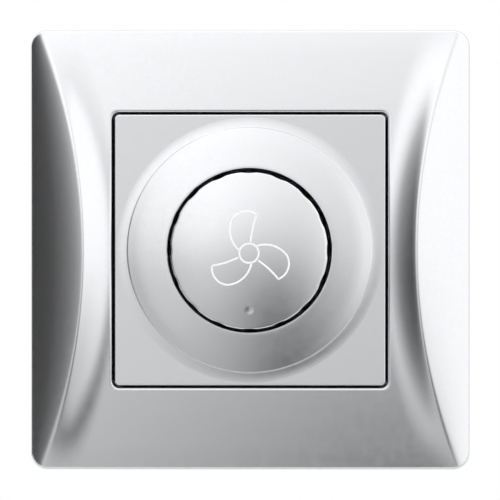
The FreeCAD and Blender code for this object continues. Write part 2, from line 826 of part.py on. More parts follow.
def make_fan_symbol():
    """Printed pictogram on the knob's dome: a hub ring and three blades in thin lines."""
    reach = value("blade_reach")
    line = value("line_width")

    def spot(share):
        return Vector(share[0] * reach, 0, share[1] * reach)

    blade = Part.Wire([
        Part.Arc(spot(BLADE_ROOT), spot(BLADE_CREST), spot(BLADE_SHOULDER)).toShape(),
        Part.Arc(spot(BLADE_SHOULDER), spot(BLADE_FLANK), spot(BLADE_TIP)).toShape(),
        Part.Arc(spot(BLADE_TIP), spot(BLADE_RETURN), spot(BLADE_HEEL)).toShape(),
        Part.LineSegment(spot(BLADE_HEEL), spot(BLADE_ROOT)).toShape(),
    ])
    blade_face = Part.Face(blade)
    inside = blade_face.makeOffset2D(-line)
    hub = Part.Face(Part.Wire(Part.makeCircle(value("hub_radius"), Vector(), Vector(0, -1, 0))))
    band = blade_face.cut(inside).cut(hub)
    hub_inside = Part.Face(Part.Wire(
        Part.makeCircle(value("hub_radius - line_width"), Vector(), Vector(0, -1, 0))))
    height = value("crown_height + knob_crown")
    bars = hub.cut(hub_inside).extrude(Vector(0, -height, 0))
    for turn in range(3):
        bar = band.extrude(Vector(0, -height, 0))
        bar.rotate(Vector(), Vector(0, 1, 0), 120 * turn)
        bars = bars.fuse(bar)
    bars.translate(Vector(0, 0, -value("symbol_drop")))

    lines = doc.addObject("Part::Feature", "symbol_lines")
    lines.Shape = bars
    lines.Placement = Placement()
    ink = doc.addObject("Part::Sphere", "ink_ball")
    bind(ink, Radius="dome_radius + print_thickness")
    face = doc.addObject("Part::Sphere", "dome_ball")
    bind(face, Radius="dome_radius")
    for ball in (ink, face):
        place(ball, "0", "dome_radius - crown_height", "0", Rotation(Vector(1, 0, 0), 90))
    return common("fan_symbol", lines, cut("ink_shell", ink, face))


def make_knob_clip():
    """Bent leaf that presses on the shaft's flat inside the boss."""
    return block("knob_clip", "-clip_width / 2", "-(boss_foot_height + clip_length)",
                 "shaft_flat + press_gap", "clip_width", "clip_length", "clip_thickness")


# Nuts, washer and support frame

def make_bush_nut():
    """Thin hexagon nut on the bush, in front of the support frame."""
    body = new_body("bush_nut")
    low = "washer_height"
    sketch = front_sketch(body, low)
    corner = "(nut_flats / sqrt(3))"
    flat = "(nut_flats / 2)"
    outline(sketch, [
        (corner, "0"), (f"{corner} / 2", flat), (f"-{corner} / 2", flat),
        (f"-{corner}", "0"), (f"-{corner} / 2", f"-{flat}"), (f"{corner} / 2", f"-{flat}"),
    ])
    circle(sketch, "bush_radius + press_gap")
    pad(body, sketch, "bush_nut_thickness")
    return body


def make_plate_nut():
    """Round nut with two driving slots, which clamps the centre plate's floor."""
    body = new_body("plate_nut")
    sketch = front_sketch(body, "well_floor_height")
    circle(sketch, "plate_nut_radius")
    circle(sketch, "bush_radius + press_gap")
    stock = pad(body, sketch, "plate_nut_thickness")
    soften(body, stock, "plate_nut_thickness / 8",
           at_height("well_floor_height + plate_nut_thickness"), "PartDesign::Chamfer")
    slot = front_sketch(body, "well_floor_height + plate_nut_thickness")
    rectangle(slot, "-plate_nut_radius - overcut", "-nut_slot / 2",
              "plate_nut_radius + overcut", "nut_slot / 2")
    pocket(body, slot, "plate_nut_thickness / 2")
    return body


def slot_bar(name, centre, upright):
    """Bar with round ends that cuts one fixing slot, centred on X or Z."""
    half = "(box_slot_length / 2 - box_slot_width / 2)"
    width = "box_slot_width"
    start, deep = "-2 * support_thickness", "3 * support_thickness"
    if upright:
        bar = block(f"{name}_bar", "-box_slot_width / 2", start, f"{centre} - {half}",
                    width, deep, f"2 * {half}")
        spots = [("0", f"{centre} {sign} {half}") for sign in ("-", "+")]
    else:
        bar = block(f"{name}_bar", f"{centre} - {half}", start, "-box_slot_width / 2",
                    f"2 * {half}", deep, width)
        spots = [(f"{centre} {sign} {half}", "0") for sign in ("-", "+")]
    ends = [rod(f"{name}_end_{index}", "box_slot_width / 2", deep, x, start, z)
            for index, (x, z) in enumerate(spots)]
    return join(name, bar, *ends)


UPRIGHT_SLOTS = ("top", "bottom")


def make_support_frame():
    """Steel plate on the wall with four fixing slots and a hole for each thing behind it."""
    body = new_body("support_plate")
    stock = pad(body, square(front_sketch(body), "support_width / 2"), "support_thickness")
    soften(body, stock, "support_corner", runs_through)
    holes = front_sketch(body, "support_thickness")
    circle(holes, "bush_radius + bush_clearance")
    circle(holes, "trimmer_rotor_radius + trimmer_hole_gap", "trimmer_x", "trimmer_z")
    circle(holes, "ear_screw_radius + screw_clearance", "ear_screw_reach", "0")
    circle(holes, "ear_screw_radius + screw_clearance", "-ear_screw_reach", "0")
    pocket(body, holes, "support_thickness")
    slots = [slot_bar(f"slot_{name}", f"{side}box_screw_spacing / 2", name in UPRIGHT_SLOTS)
             for name, side in (("left", "-"), ("right", ""), ("bottom", "-"), ("top", ""))]
    return cut("support_frame", body, *slots)


# Housing

def terminal_places():
    """Formulas of the terminals' places across the block."""
    count = int(value("terminal_count"))
    return [f"{index - (count - 1) / 2} * terminal_pitch" for index in range(count)]


def make_housing():
    """Insulating box, open towards the room, with ears, board posts and wire entries."""
    body = new_body("housing_moulding")
    pad(body, eight_sided(front_sketch(body), "half_housing", "housing_chamfer"),
        "housing_depth", into_wall=True)
    inside = eight_sided(front_sketch(body), "inner_half",
                         "housing_chamfer - (2 - sqrt(2)) * housing_wall")
    pocket(body, inside, "floor_depth")
    ears = front_sketch(body)
    root = "(half_housing - housing_wall / 2)"
    rectangle(ears, root, "-ear_width / 2", "ear_reach", "ear_width / 2")
    rectangle(ears, "-ear_reach", "-ear_width / 2", f"-{root}", "ear_width / 2")
    pad(body, ears, "ear_depth", into_wall=True)
    posts = front_sketch(body, "-board_rear")
    near = "(inner_half - post_inset - post_width)"
    far = "(inner_half - post_inset)"
    for left, right in ((near, far), (f"-{far}", f"-{near}")):
        for low, high in ((near, far), (f"-{far}", f"-{near}")):
            rectangle(posts, left, low, right, high)
    pad(body, posts, "floor_depth - board_rear", into_wall=True)
    screws = front_sketch(body)
    circle(screws, "ear_screw_radius + press_gap", "ear_screw_reach", "0")
    circle(screws, "ear_screw_radius + press_gap", "-ear_screw_reach", "0")
    pocket(body, screws, "ear_depth")
    wires = front_sketch(body, "-floor_depth + overcut")
    for across in terminal_places():
        circle(wires, "wire_entry_radius", across, "wire_z")
    pocket(body, wires, "housing_wall + 2 * overcut")
    tools = [rod(f"driver_way_{index}", "driver_radius", "2 * housing_wall", across, "screw_depth",
                 "-half_housing - housing_wall / 2", "z")
             for index, across in enumerate(terminal_places())]
    return cut("housing_cut", body, *tools)


# Depth of a screw's driving slot, as a share of its head's height
SCREW_SLOT_SHARE = 0.45


def screw(name, x, y, z, along, shank, length, head, head_height, slot):
    """Slotted screw: its head starts the axis and its shank follows."""
    start = {"x": x, "y": y, "z": z}
    top = rod(f"{name}_head", head, head_height, x, y, z, along)
    neck = {**start, along: f"{start[along]} + {head_height}"}
    stem = rod(f"{name}_stem", shank, length, neck["x"], neck["y"], neck["z"], along)
    whole = join(f"{name}_whole", top, stem)
    corner = {axis: f"{spot} - 2 * {head}" for axis, spot in start.items()}
    size = {axis: f"4 * {head}" for axis in start}
    narrow = "y" if along == "x" else "x"
    corner[narrow] = f"{start[narrow]} - {slot} / 2"
    size[narrow] = slot
    corner[along] = f"{start[along]} - {head_height}"
    size[along] = f"{head_height} * (1 + {SCREW_SLOT_SHARE})"
    groove = block(f"{name}_slot", corner["x"], corner["y"], corner["z"],
                   size["x"], size["y"], size["z"])
    return cut(name, whole, groove)


def make_housing_screws():
    """Two screws through the support frame into the housing's ears."""
    return group("housing_screws", [
        screw(f"ear_screw_{name}", f"{side}ear_screw_reach",
              "-(support_thickness + ear_screw_head_height)", "0", "y",
              "ear_screw_radius", "support_thickness + ear_screw_grip",
              "ear_screw_head", "ear_screw_head_height", "ear_screw_slot")
        for name, side in (("left", "-"), ("right", ""))])


# Circuit board

CONTACT_TURNS = {"feed": 37.5, "load": 0.0}
LEGS = {
    "triac": [(f"{step} * triac_pitch", "heatsink_z - triac_thickness / 2")
              for step in (-1, 0, 1)],
    "choke": [("-choke_leg_x", "choke_z - choke_leg_spacing / 2"),
              ("-choke_leg_x", "choke_z + choke_leg_spacing / 2")],
    "film": [("film_x + film_leg_inset", "-film_leg_spacing / 2"),
             ("film_x + film_leg_inset", "film_leg_spacing / 2")],
    "timing": [("timing_x + timing_leg_inset", "timing_z + timing_thickness / 2"),
               ("timing_x + timing_width - timing_leg_inset", "timing_z + timing_thickness / 2")],
    "trimmer": [("trimmer_x - trimmer_leg_offset", "trimmer_z + trimmer_leg_offset"),
                ("trimmer_x + trimmer_leg_offset", "trimmer_z + trimmer_leg_offset"),
                ("trimmer_x", "trimmer_z - trimmer_leg_offset")],
    "resistor_a": [("-resistor_x", "-resistor_span / 2"), ("-resistor_x", "resistor_span / 2")],
    "resistor_b": [("-(resistor_x - resistor_pitch)", "-resistor_span / 2 - resistor_stagger"),
                   ("-(resistor_x - resistor_pitch)", "resistor_span / 2 - resistor_stagger")],
    "diac": [("diac_x", "diac_z - diac_span / 2"), ("diac_x", "diac_z + diac_span / 2")],
    "pot": [(f"{step} * pin_spacing", "-pin_reach + pin_thickness / 2")
            for step in (-1, 0, 1)],
}


def contact_spot(turn, reach):
    """Formulas of a place on a contact's line, turned from straight down towards +X."""
    return (f"({reach}) * {math.sin(math.radians(turn)):.6f}",
            f"-({reach}) * {math.cos(math.radians(turn)):.6f}")


def make_circuit_board():
    """Board with its corners cut off and a hole for every leg."""
    body = new_body("circuit_board")
    sketch = front_sketch(body, "-board_rear")
    side = "board_half"
    near = f"({side} - board_chamfer)"
    top_near = "(board_top - board_chamfer / 2)"
    outline(sketch, [
        (f"-{near}", f"-{side}"), (near, f"-{side}"), (side, f"-{near}"), (side, top_near),
        (f"{side} - board_chamfer / 2", "board_top"),
        (f"-({side} - board_chamfer / 2)", "board_top"),
        (f"-{side}", top_near), (f"-{side}", f"-{near}"),
    ])
    circle(sketch, "shaft_hole_radius")
    for places in LEGS.values():
        for flat, upright in places:
            circle(sketch, "leg_hole_radius", flat, upright)
    for turn in CONTACT_TURNS.values():
        flat, upright = contact_spot(turn, "contact_reach - contact_thickness / 2")
        circle(sketch, "contact_width / 2 + leg_hole_radius - leg_radius", flat, upright)
    for across in terminal_places():
        circle(sketch, "leg_hole_radius", f"{across} + cage_leg_offset", "cage_top - leg_radius")
    pad(body, sketch, "board_thickness")
    return body


def legs(name, start, length):
    """Round legs of a component, through the board."""
    return [rod(f"{name}_leg_{index}", "leg_radius", length, x, start, z)
            for index, (x, z) in enumerate(LEGS[name])]


THROUGH_BOARD = "board_thickness + leg_tail"


# Potentiometer

def make_bush():
    """Bush that carries the shaft and takes both nuts."""
    return turned("potentiometer_bush", [
        ("shaft_radius + shaft_fit", "-pot_front"),
        ("bush_radius", "-pot_front"),
        ("bush_radius", "bush_height - bush_bevel"),
        ("bush_radius - bush_bevel", "bush_height"),
        ("shaft_radius + shaft_fit", "bush_height"),
    ])


def turned_about(feature, turn, x, y, z):
    """Place a thing and turn it about the knob's axis, clockwise as seen from the room."""
    feature.Placement = Placement(Vector(), Rotation(Vector(0, 1, 0), turn))
    bind(feature, Placement__Base__x=x, Placement__Base__y=y, Placement__Base__z=z)
    return feature


def make_pot_case():
    """Pressed cup with a stop lug inside and a notch for the pins."""
    cup = turned("pot_cup", [
        ("bush_radius + press_gap", "0"),
        ("pot_radius", "0"),
        ("pot_radius", "-pot_depth"),
        ("pot_radius - pot_wall", "-pot_depth"),
        ("pot_radius - pot_wall", "-pot_front"),
        ("bush_radius + press_gap", "-pot_front"),
    ])
    stop_angle = 360 - (360 - value("knob_travel")) / 2
    sine, cosine = math.sin(math.radians(stop_angle)), math.cos(math.radians(stop_angle))
    lug = doc.addObject("Part::Box", "stop_lug")
    bind(lug, Length="stop_width", Width="track_depth - pot_front - stop_gap",
         Height="pot_radius - pot_wall / 2 - stop_reach")
    outer = "(pot_radius - pot_wall / 2)"
    turned_about(lug, stop_angle,
                 f"-{outer} * {sine:.6f} - stop_width / 2 * {cosine:.6f}",
                 "pot_front",
                 f"-{outer} * {cosine:.6f} + stop_width / 2 * {sine:.6f}")
    whole = join("pot_case_whole", cup, lug)
    notch = block("pin_notch", "-(pin_spacing + pin_width)", "track_depth - pin_thickness - press_gap",
                  "-pot_radius - overcut", "2 * (pin_spacing + pin_width)",
                  "pot_depth", "overcut + pin_notch")
    return cut("potentiometer_case", whole, notch)


def make_pot_pins():
    """Three flat pins from the track's rim, down through the board."""
    pins = []
    for index, step in enumerate((-1, 0, 1)):
        left = f"{step} * pin_spacing - pin_width / 2"
        foot = block(f"pin_foot_{index}", left, "track_depth - pin_thickness", "-pin_reach",
                     "pin_width", "pin_thickness", "pin_reach - pin_start")
        stem = rod(f"pin_stem_{index}", "leg_radius", "board_rear - track_depth + pin_thickness / 2",
                   f"{step} * pin_spacing", "track_depth - pin_thickness / 2",
                   "-pin_reach + pin_thickness / 2 + leg_radius / 3")
        pins.append(join(f"pin_{index}", foot, stem))
    return group("potentiometer_pins", pins)


def make_wiper():
    """Hub on the shaft's flat and an arm that points with the knob's dimple."""
    body = new_body("wiper_moulding")
    low = "-(track_depth - sliding_gap)"
    sketch = front_sketch(body, low)
    circle(sketch, "wiper_hub")
    pad(body, sketch, "wiper_thickness")
    arm = front_sketch(body, low)
    rectangle(arm, "-wiper_width / 2", "-wiper_reach", "wiper_width / 2", "-wiper_hub / 2")
    pad(body, arm, "wiper_thickness")
    bore = d_outline(front_sketch(body, low), "shaft_radius + press_gap", "shaft_flat + press_gap")
    pocket(body, bore, "wiper_thickness", to_room=True)
    return body


def make_shaft():
    """Round through the bush and flatted where the knob, the wiper and the rotor sit."""
    body = new_body("potentiometer_shaft")
    rear = d_outline(front_sketch(body, "-shaft_end_depth"), "shaft_radius", "shaft_flat")
    pad(body, rear, "shaft_end_depth - shaft_round_depth")
    middle = front_sketch(body, "-shaft_round_depth")
    circle(middle, "shaft_radius")
    pad(body, middle, "shaft_round_depth + shaft_round_height")
    front = d_outline(front_sketch(body, "shaft_round_height"), "shaft_radius", "shaft_flat")
    tip = pad(body, front, "shaft_tip_height - shaft_round_height")
    soften(body, tip, "shaft_bevel", at_height("shaft_tip_height"), "PartDesign::Chamfer")
    return body


# Off switch

def make_switch_case():
    """Cup behind the board with a bearing for the shaft's end and two contact slots."""
    rear = "(board_rear + switch_depth)"
    cup = turned("switch_cup", [
        ("switch_radius - switch_wall", "-board_rear"),
        ("switch_radius", "-board_rear"),
        ("switch_radius", f"-{rear}"),
        ("shaft_radius + shaft_fit", f"-{rear}"),
        ("shaft_radius + shaft_fit", f"-({rear} - switch_wall)"),
        ("switch_radius - switch_wall", f"-({rear} - switch_wall)"),
    ])
    slots = []
    for name, turn in CONTACT_TURNS.items():
        slot = doc.addObject("Part::Box", f"{name}_slot")
        width = "(contact_width + 2 * cage_gap)"
        bind(slot, Length=width, Width="contact_thickness + 2 * press_gap", Height="2 * switch_wall")
        x, z = contact_spot(turn, "switch_radius + switch_wall / 2")
        cosine, sine = math.cos(math.radians(turn)), math.sin(math.radians(turn))
        turned_about(slot, -turn, f"{x} - {width} / 2 * {cosine:.6f}",
                     "bridge_rear + sliding_gap - press_gap",
                     f"{z} - {width} / 2 * {sine:.6f}")
        slots.append(slot)
    return cut("switch_case", cup, *slots)


def make_switch_rotor():
    """Disc on the shaft's flat that carries the bridge."""
    body = new_body("switch_rotor")
    level = "-(bridge_rear - bridge_thickness)"
    sketch = front_sketch(body, level)
    circle(sketch, "switch_rotor_radius")
    pad(body, sketch, "switch_rotor_thickness")
    bore = d_outline(front_sketch(body, level), "shaft_radius + press_gap", "shaft_flat + press_gap")
    pocket(body, bore, "switch_rotor_thickness", to_room=True)
    return body


def make_contact_bridge():
    """Brass ring with a gap that faces the load contact at rest."""
    whole = ring("bridge_ring", "bridge_inner_radius", "bridge_outer_radius",
                 "-(bridge_rear - bridge_thickness)", "-bridge_rear")
    half = math.radians(value("bridge_gap_angle") / 2)
    reach = value("2 * bridge_outer_radius")
    corners = [Vector(), Vector(-reach * math.sin(half), 0, -reach * math.cos(half)),
               Vector(reach * math.sin(half), 0, -reach * math.cos(half)), Vector()]
    wedge = doc.addObject("Part::Feature", "bridge_gap")
    wedge.Shape = Part.Face(Part.makePolygon(corners)).extrude(Vector(0, value("housing_depth"), 0))
    wedge.Placement = Placement()
    return cut("contact_bridge", whole, wedge)


def make_switch_contacts():
    """Two blades behind the bridge, bent down through the board outside the case."""
    blades = []
    start = "(bridge_rear + sliding_gap)"
    for name, turn in CONTACT_TURNS.items():
        cosine, sine = math.cos(math.radians(turn)), math.sin(math.radians(turn))
        x, z = contact_spot(turn, "contact_reach")
        corner = (f"{x} - contact_width / 2 * {cosine:.6f}", f"{z} - contact_width / 2 * {sine:.6f}")
        blade = doc.addObject("Part::Box", f"{name}_blade")
        bind(blade, Length="contact_width", Width="contact_thickness",
             Height="contact_reach - contact_start")
        turned_about(blade, -turn, corner[0], start, corner[1])
        tail = doc.addObject("Part::Box", f"{name}_tail")
        bind(tail, Length="contact_width", Height="contact_thickness",
             Width=f"{start} + contact_thickness - pot_depth - press_gap")
        turned_about(tail, -turn, corner[0], "pot_depth + press_gap", corner[1])
        blades.append(join(f"{name}_contact", blade, tail))
    return group("switch_contacts", blades)


# Other components

def make_trimmer_case():
    """Square trimmer body with a round recess for its rotor."""
    half = "trimmer_width / 2"
    body = block("trimmer_block", f"trimmer_x - {half}", "pot_depth - trimmer_thickness",
                 f"trimmer_z - {half}", "trimmer_width", "trimmer_thickness", "trimmer_width")
    recess = rod("trimmer_recess", "trimmer_rotor_radius + shaft_fit * 2", "trimmer_rotor_height / 2",
                 "trimmer_x", "pot_depth - trimmer_thickness", "trimmer_z")
    shell = cut("trimmer_shell", body, recess)
    return join("trimmer_case", shell, *legs("trimmer", "pot_depth", THROUGH_BOARD))


def make_trimmer_rotor():
    """Slotted rotor, half sunk in its case."""
    front = "(pot_depth - trimmer_thickness - trimmer_rotor_height / 2 - sliding_gap)"
    disc = rod("trimmer_disc", "trimmer_rotor_radius", "trimmer_rotor_height",
               "trimmer_x", front, "trimmer_z")
    slot = block("trimmer_groove", "trimmer_x - trimmer_slot / 2", f"{front} - overcut",
                 "trimmer_z - 2 * trimmer_rotor_radius",
                 "trimmer_slot", "overcut + trimmer_slot_depth", "4 * trimmer_rotor_radius")
    return cut("trimmer_rotor", disc, slot)


def make_triac():
    """Flat moulded package against the heatsink, with three legs to the board."""
    low = "(heatsink_z - triac_thickness)"
    package = block("triac_package", "-triac_width / 2", "triac_start_depth", low,
                    "triac_width", "triac_length", "triac_thickness")
    stems = legs("triac", "board_rear - board_thickness - leg_tail",
                 "triac_rise + board_thickness + leg_tail + leg_root")
    whole = join("triac_whole", package, *stems)
    hole = rod("triac_hole", "m3_radius + screw_clearance", "2 * triac_thickness",
               "0", "triac_screw_depth", "heatsink_z - 3 * triac_thickness / 2", "z")
    return cut("triac", whole, hole)


def make_heatsink():
    """Aluminium angle: a long plate for the triac and a flange behind the support frame."""
    plate = block("heatsink_plate", "-heatsink_width / 2", "0", "heatsink_z",
                  "heatsink_width", "heatsink_depth", "heatsink_thickness")
    flange = block("heatsink_flange_plate", "-heatsink_width / 2", "0",
                   "heatsink_z + heatsink_thickness - heatsink_flange",
                   "heatsink_width", "heatsink_thickness", "heatsink_flange")
    whole = join("heatsink_whole", plate, flange)
    hole = rod("heatsink_hole", "m3_radius + press_gap", "4 * heatsink_thickness",
               "0", "triac_screw_depth", "heatsink_z - heatsink_thickness", "z")
    return cut("heatsink", whole, hole)


def make_heatsink_screw():
    """Screw through the triac into the heatsink."""
    return screw("heatsink_screw", "0", "triac_screw_depth",
                 "heatsink_z - triac_thickness - m3_head_height", "z",
                 "m3_radius", "triac_thickness + heatsink_thickness + m3_tail",
                 "m3_head_radius", "m3_head_height", "m3_slot")


def make_choke_core():
    """Ring core on edge, with its axis along X."""
    outer = rod("core_outer", "core_radius", "core_width", "-choke_x - core_width / 2", "choke_depth",
                "choke_z", "x")
    bore = rod("core_hole", "core_bore", "2 * core_width", "-choke_x - core_width", "choke_depth",
               "choke_z", "x")
    return cut("choke_core", outer, bore)


def make_choke_winding():
    """Copper wound round the core, open where the two ends leave it."""
    body = new_body("winding")
    sketch = sketch_on(body, "XY_Plane")
    gap = "press_gap"
    thick = "winding_thickness"
    half = "core_width / 2"
    low, high = "core_bore", "core_radius"
    rectangle(sketch, f"-({half} + {thick})", f"{low} - {thick}",
              f"{half} + {thick}", f"{high} + {thick}")
    rectangle(sketch, f"-({half} + {gap})", f"{low} - {gap}", f"{half} + {gap}", f"{high} + {gap}")
    feature = body.newObject("PartDesign::Revolution", "winding_turned")
    feature.Profile = sketch
    feature.ReferenceAxis = (sketch, ["H_Axis"])
    bind(feature, Angle="winding_angle")
    opening = value("360 - winding_angle")
    body.Placement = Placement(Vector(), Rotation(Vector(1, 0, 0), opening / 2))
    bind(body, Placement__Base__x="-choke_x", Placement__Base__y="choke_depth",
         Placement__Base__z="choke_z")
    ends = legs("choke", "pot_depth - leg_tail", "board_thickness + leg_tail + choke_leg_rise")
    return join("choke_winding", body, *ends)


def make_film_capacitor():
    """Boxed capacitor that stands on the board."""
    body = new_body("film_box")
    sketch = front_sketch(body, "-(board_rear + film_length)")
    rectangle(sketch, "film_x", "-film_height / 2", "film_x + film_width", "film_height / 2")
    stock = pad(body, sketch, "film_length")
    soften(body, stock, "film_edge", runs_through)
    return join("film_capacitor", body,
                *legs("film", "pot_depth - leg_tail", "board_thickness + leg_tail + leg_root"))


def make_timing_capacitor():
    """Small boxed capacitor."""
    body = new_body("timing_box")
    sketch = front_sketch(body, "-(board_rear + timing_length)")
    rectangle(sketch, "timing_x", "timing_z", "timing_x + timing_width", "timing_z + timing_thickness")
    stock = pad(body, sketch, "timing_length")
    soften(body, stock, "film_edge / 2", runs_through)
    return join("timing_capacitor", body,
                *legs("timing", "pot_depth - leg_tail", "board_thickness + leg_tail + leg_root"))


def axial(name, spots, radius, length):
    """Component that lies on the board with a bent wire at each end."""
    (x, low), (_, high) = spots
    level = f"(pot_depth - {radius} - press_gap)"
    barrel = rod(f"{name}_barrel", radius, length, x, level,
                 f"({low} + {high}) / 2 - {length} / 2", "z")
    wire = rod(f"{name}_wire", "leg_radius", f"{high} - ({low})", x, level, low, "z")
    reach = f"{radius} + press_gap + {THROUGH_BOARD}"
    drops = [rod(f"{name}_drop_{index}", "leg_radius", reach, x, level, z)
             for index, z in enumerate((low, high))]
    knees = []
    for index, z in enumerate((low, high)):
        knee = doc.addObject("Part::Sphere", f"{name}_knee_{index}")
        bind(knee, Radius="leg_radius")
        knees.append(place(knee, x, level, z))
    return join(name, barrel, wire, *drops, *knees)


def make_resistors():
    """Two resistors beside the potentiometer."""
    return group("resistors", [
        axial(name, LEGS[name], "resistor_radius", "resistor_length")
        for name in ("resistor_a", "resistor_b")])


def make_fuse_tube():
    """Glass tube between the caps."""
    length = "(fuse_length - 2 * fuse_cap_wall - 2 * press_gap)"
    glass = "(fuse_radius - fuse_cap_wall - press_gap)"
    outer = rod("glass_outer", glass, length, f"-{length} / 2", "fuse_depth", "fuse_z", "x")
    inner = rod("glass_inner", f"{glass} - fuse_glass_wall", "2 * fuse_length", "-fuse_length",
                "fuse_depth", "fuse_z", "x")
    return cut("fuse_tube", outer, inner)


def make_fuse_caps():
    """Two thin caps pushed over the glass."""
    caps = []
    for name, start in (("left", "-fuse_length / 2"), ("right", "fuse_length / 2 - fuse_cap_length")):
        outer = rod(f"cap_outer_{name}", "fuse_radius", "fuse_cap_length", start,
                    "fuse_depth", "fuse_z", "x")
        mouth = f"{start} - fuse_cap_wall" if name == "right" else f"{start} + fuse_cap_wall"
        inner = rod(f"cap_inner_{name}", "fuse_radius - fuse_cap_wall", "fuse_cap_length", mouth,
                    "fuse_depth", "fuse_z", "x")
        caps.append(cut(f"cap_{name}", outer, inner))
    return group("fuse_caps", caps)


def make_fuse_clips():
    """Two U-shaped spring clips on the board that hold the caps."""
    clips = []
    outer = "(fuse_radius + press_gap + clip_metal)"
    for name, side in (("left", "-1"), ("right", "1")):
        middle = f"{side} * (fuse_length / 2 - fuse_cap_length / 2)"
        start = f"{middle} - fuse_clip_width / 2"
        stock = block(f"clip_stock_{name}", start, "fuse_depth - clip_rise", f"fuse_z - {outer}",
                      "fuse_clip_width", f"clip_rise + {outer}", f"2 * {outer}")
        bed = rod(f"clip_bed_{name}", "fuse_radius + press_gap", "2 * fuse_clip_width",
                  f"{middle} - fuse_clip_width", "fuse_depth", "fuse_z", "x")
        mouth = block(f"clip_mouth_{name}", f"{middle} - fuse_clip_width", "fuse_depth - 2 * fuse_radius",
                      "fuse_z - clip_mouth / 2", "2 * fuse_clip_width", "2 * fuse_radius",
                      "clip_mouth")
        clips.append(cut(f"clip_{name}", stock, bed, mouth))
    return group("fuse_clips", clips)


# Terminals

def make_terminal_block():
    """Moulding between the board and the floor, with a cavity for every cage."""
    stock = block("block_stock", "-block_width / 2", "board_rear", "block_bottom",
                  "block_width", "floor_depth - board_rear", "block_top - block_bottom")
    tools = []
    for index, across in enumerate(terminal_places()):
        tools.append(block(f"cavity_{index}", f"{across} - cavity_width / 2", "cavity_start_depth",
                           "block_bottom - overcut", "cavity_width",
                           "cavity_end_depth - cavity_start_depth",
                           "cavity_top - block_bottom + overcut"))
        tools.append(rod(f"wire_way_{index}", "wire_entry_radius", "housing_depth", across,
                         "cavity_end_depth - overcut", "wire_z"))
        tools.append(rod(f"cage_leg_way_{index}", "leg_hole_radius", "housing_depth / 2",
                         f"{across} + cage_leg_offset", "cavity_start_depth + overcut - housing_depth / 2",
                         "cage_top - leg_radius"))
    return cut("terminal_block", stock, *tools)


def make_terminal_cages():
    """Brass cages, each with a wire way, a screw thread and a leg to the board."""
    cages = []
    depth = "(cavity_end_depth - cavity_start_depth - 2 * cage_gap)"
    for index, across in enumerate(terminal_places()):
        stock = block(f"cage_stock_{index}", f"{across} - cage_width / 2", "cavity_start_depth + cage_gap",
                      "cage_top - cage_height", "cage_width", depth, "cage_height")
        leg = rod(f"cage_leg_{index}", "leg_radius",
                  "cavity_rise + cage_gap + leg_root + board_thickness + leg_tail",
                  f"{across} + cage_leg_offset", "pot_depth - leg_tail", "cage_top - leg_radius")
        wire = rod(f"cage_wire_{index}", "wire_radius", f"{depth} - cage_wall", across,
                   "cavity_start_depth + cage_gap + cage_wall", "wire_z")
        thread = rod(f"cage_thread_{index}", "terminal_screw_radius + press_gap", "cage_height", across,
                     "screw_depth", "wire_z - cage_height", "z")
        cages.append(cut(f"cage_{index}", join(f"cage_whole_{index}", stock, leg), wire, thread))
    return group("terminal_cages", cages)


def make_terminal_screws():
    """Clamping screws that reach the wire ways from below."""
    low = "(cage_top - cage_height - terminal_head_height)"
    return group("terminal_screws", [
        screw(f"terminal_screw_{index}", across, "screw_depth", low, "z", "terminal_screw_radius",
              f"wire_z - wire_radius - {low} - terminal_head_height", "terminal_head_radius",
              "terminal_head_height", "terminal_slot")
        for index, across in enumerate(terminal_places())])


PARTS = {
    "frame": make_frame(),
    "centre_plate": make_centre_plate(),
    "knob": make_knob(),
    "fan_symbol": make_fan_symbol(),
    "knob_clip": make_knob_clip(),
    "plate_nut": make_plate_nut(),
    "bush_nut": make_bush_nut(),
    "bush_washer": ring("bush_washer", "bush_radius + bush_clearance", "washer_radius",
                        "support_thickness", "washer_height"),
    "support_frame": make_support_frame(),
    "housing": make_housing(),
    "housing_screws": make_housing_screws(),
    "circuit_board": make_circuit_board(),
    "potentiometer_bush": make_bush(),
    "potentiometer_case": make_pot_case(),
    "potentiometer_cover": ring("potentiometer_cover", "shaft_hole_radius",
                                "pot_radius - pot_wall - press_gap", "-(pot_depth - pot_cover)", "-pot_depth"),
    "potentiometer_track": ring("potentiometer_track", "shaft_hole_radius",
                                "pot_radius - pot_wall - press_gap", "-track_depth",
                                "-(track_depth + track_thickness)"),
    "potentiometer_pins": make_pot_pins(),
    "potentiometer_wiper": make_wiper(),
    "potentiometer_shaft": make_shaft(),
    "switch_case": make_switch_case(),
    "switch_rotor": make_switch_rotor(),
    "contact_bridge": make_contact_bridge(),
    "switch_contacts": make_switch_contacts(),
    "trimmer_case": make_trimmer_case(),
    "trimmer_rotor": make_trimmer_rotor(),
    "triac": make_triac(),
    "heatsink": make_heatsink(),
    "heatsink_screw": make_heatsink_screw(),
    "choke_core": make_choke_core(),
    "choke_winding": make_choke_winding(),
    "film_capacitor": make_film_capacitor(),
    "timing_capacitor": make_timing_capacitor(),
    "diac": axial("diac_body", LEGS["diac"], "diac_radius", "diac_length"),
    "resistors": make_resistors(),
    "fuse_tube": make_fuse_tube(),
    "fuse_caps": make_fuse_caps(),
    "fuse_clips": make_fuse_clips(),
    "terminal_block": make_terminal_block(),
    "terminal_cages": make_terminal_cages(),
    "terminal_screws": make_terminal_screws(),
}
for name, part in PARTS.items():
    part.Label = name
doc.recompute()

for item in doc.Objects:
    if "Invalid" in item.State or "Error" in item.State:
        raise RuntimeError(f"{item.Name} is {item.State}")
for name, part in PARTS.items():
    if part.Shape.isNull() or not part.Shape.isValid():
        raise RuntimeError(f"{name} has no valid shape")

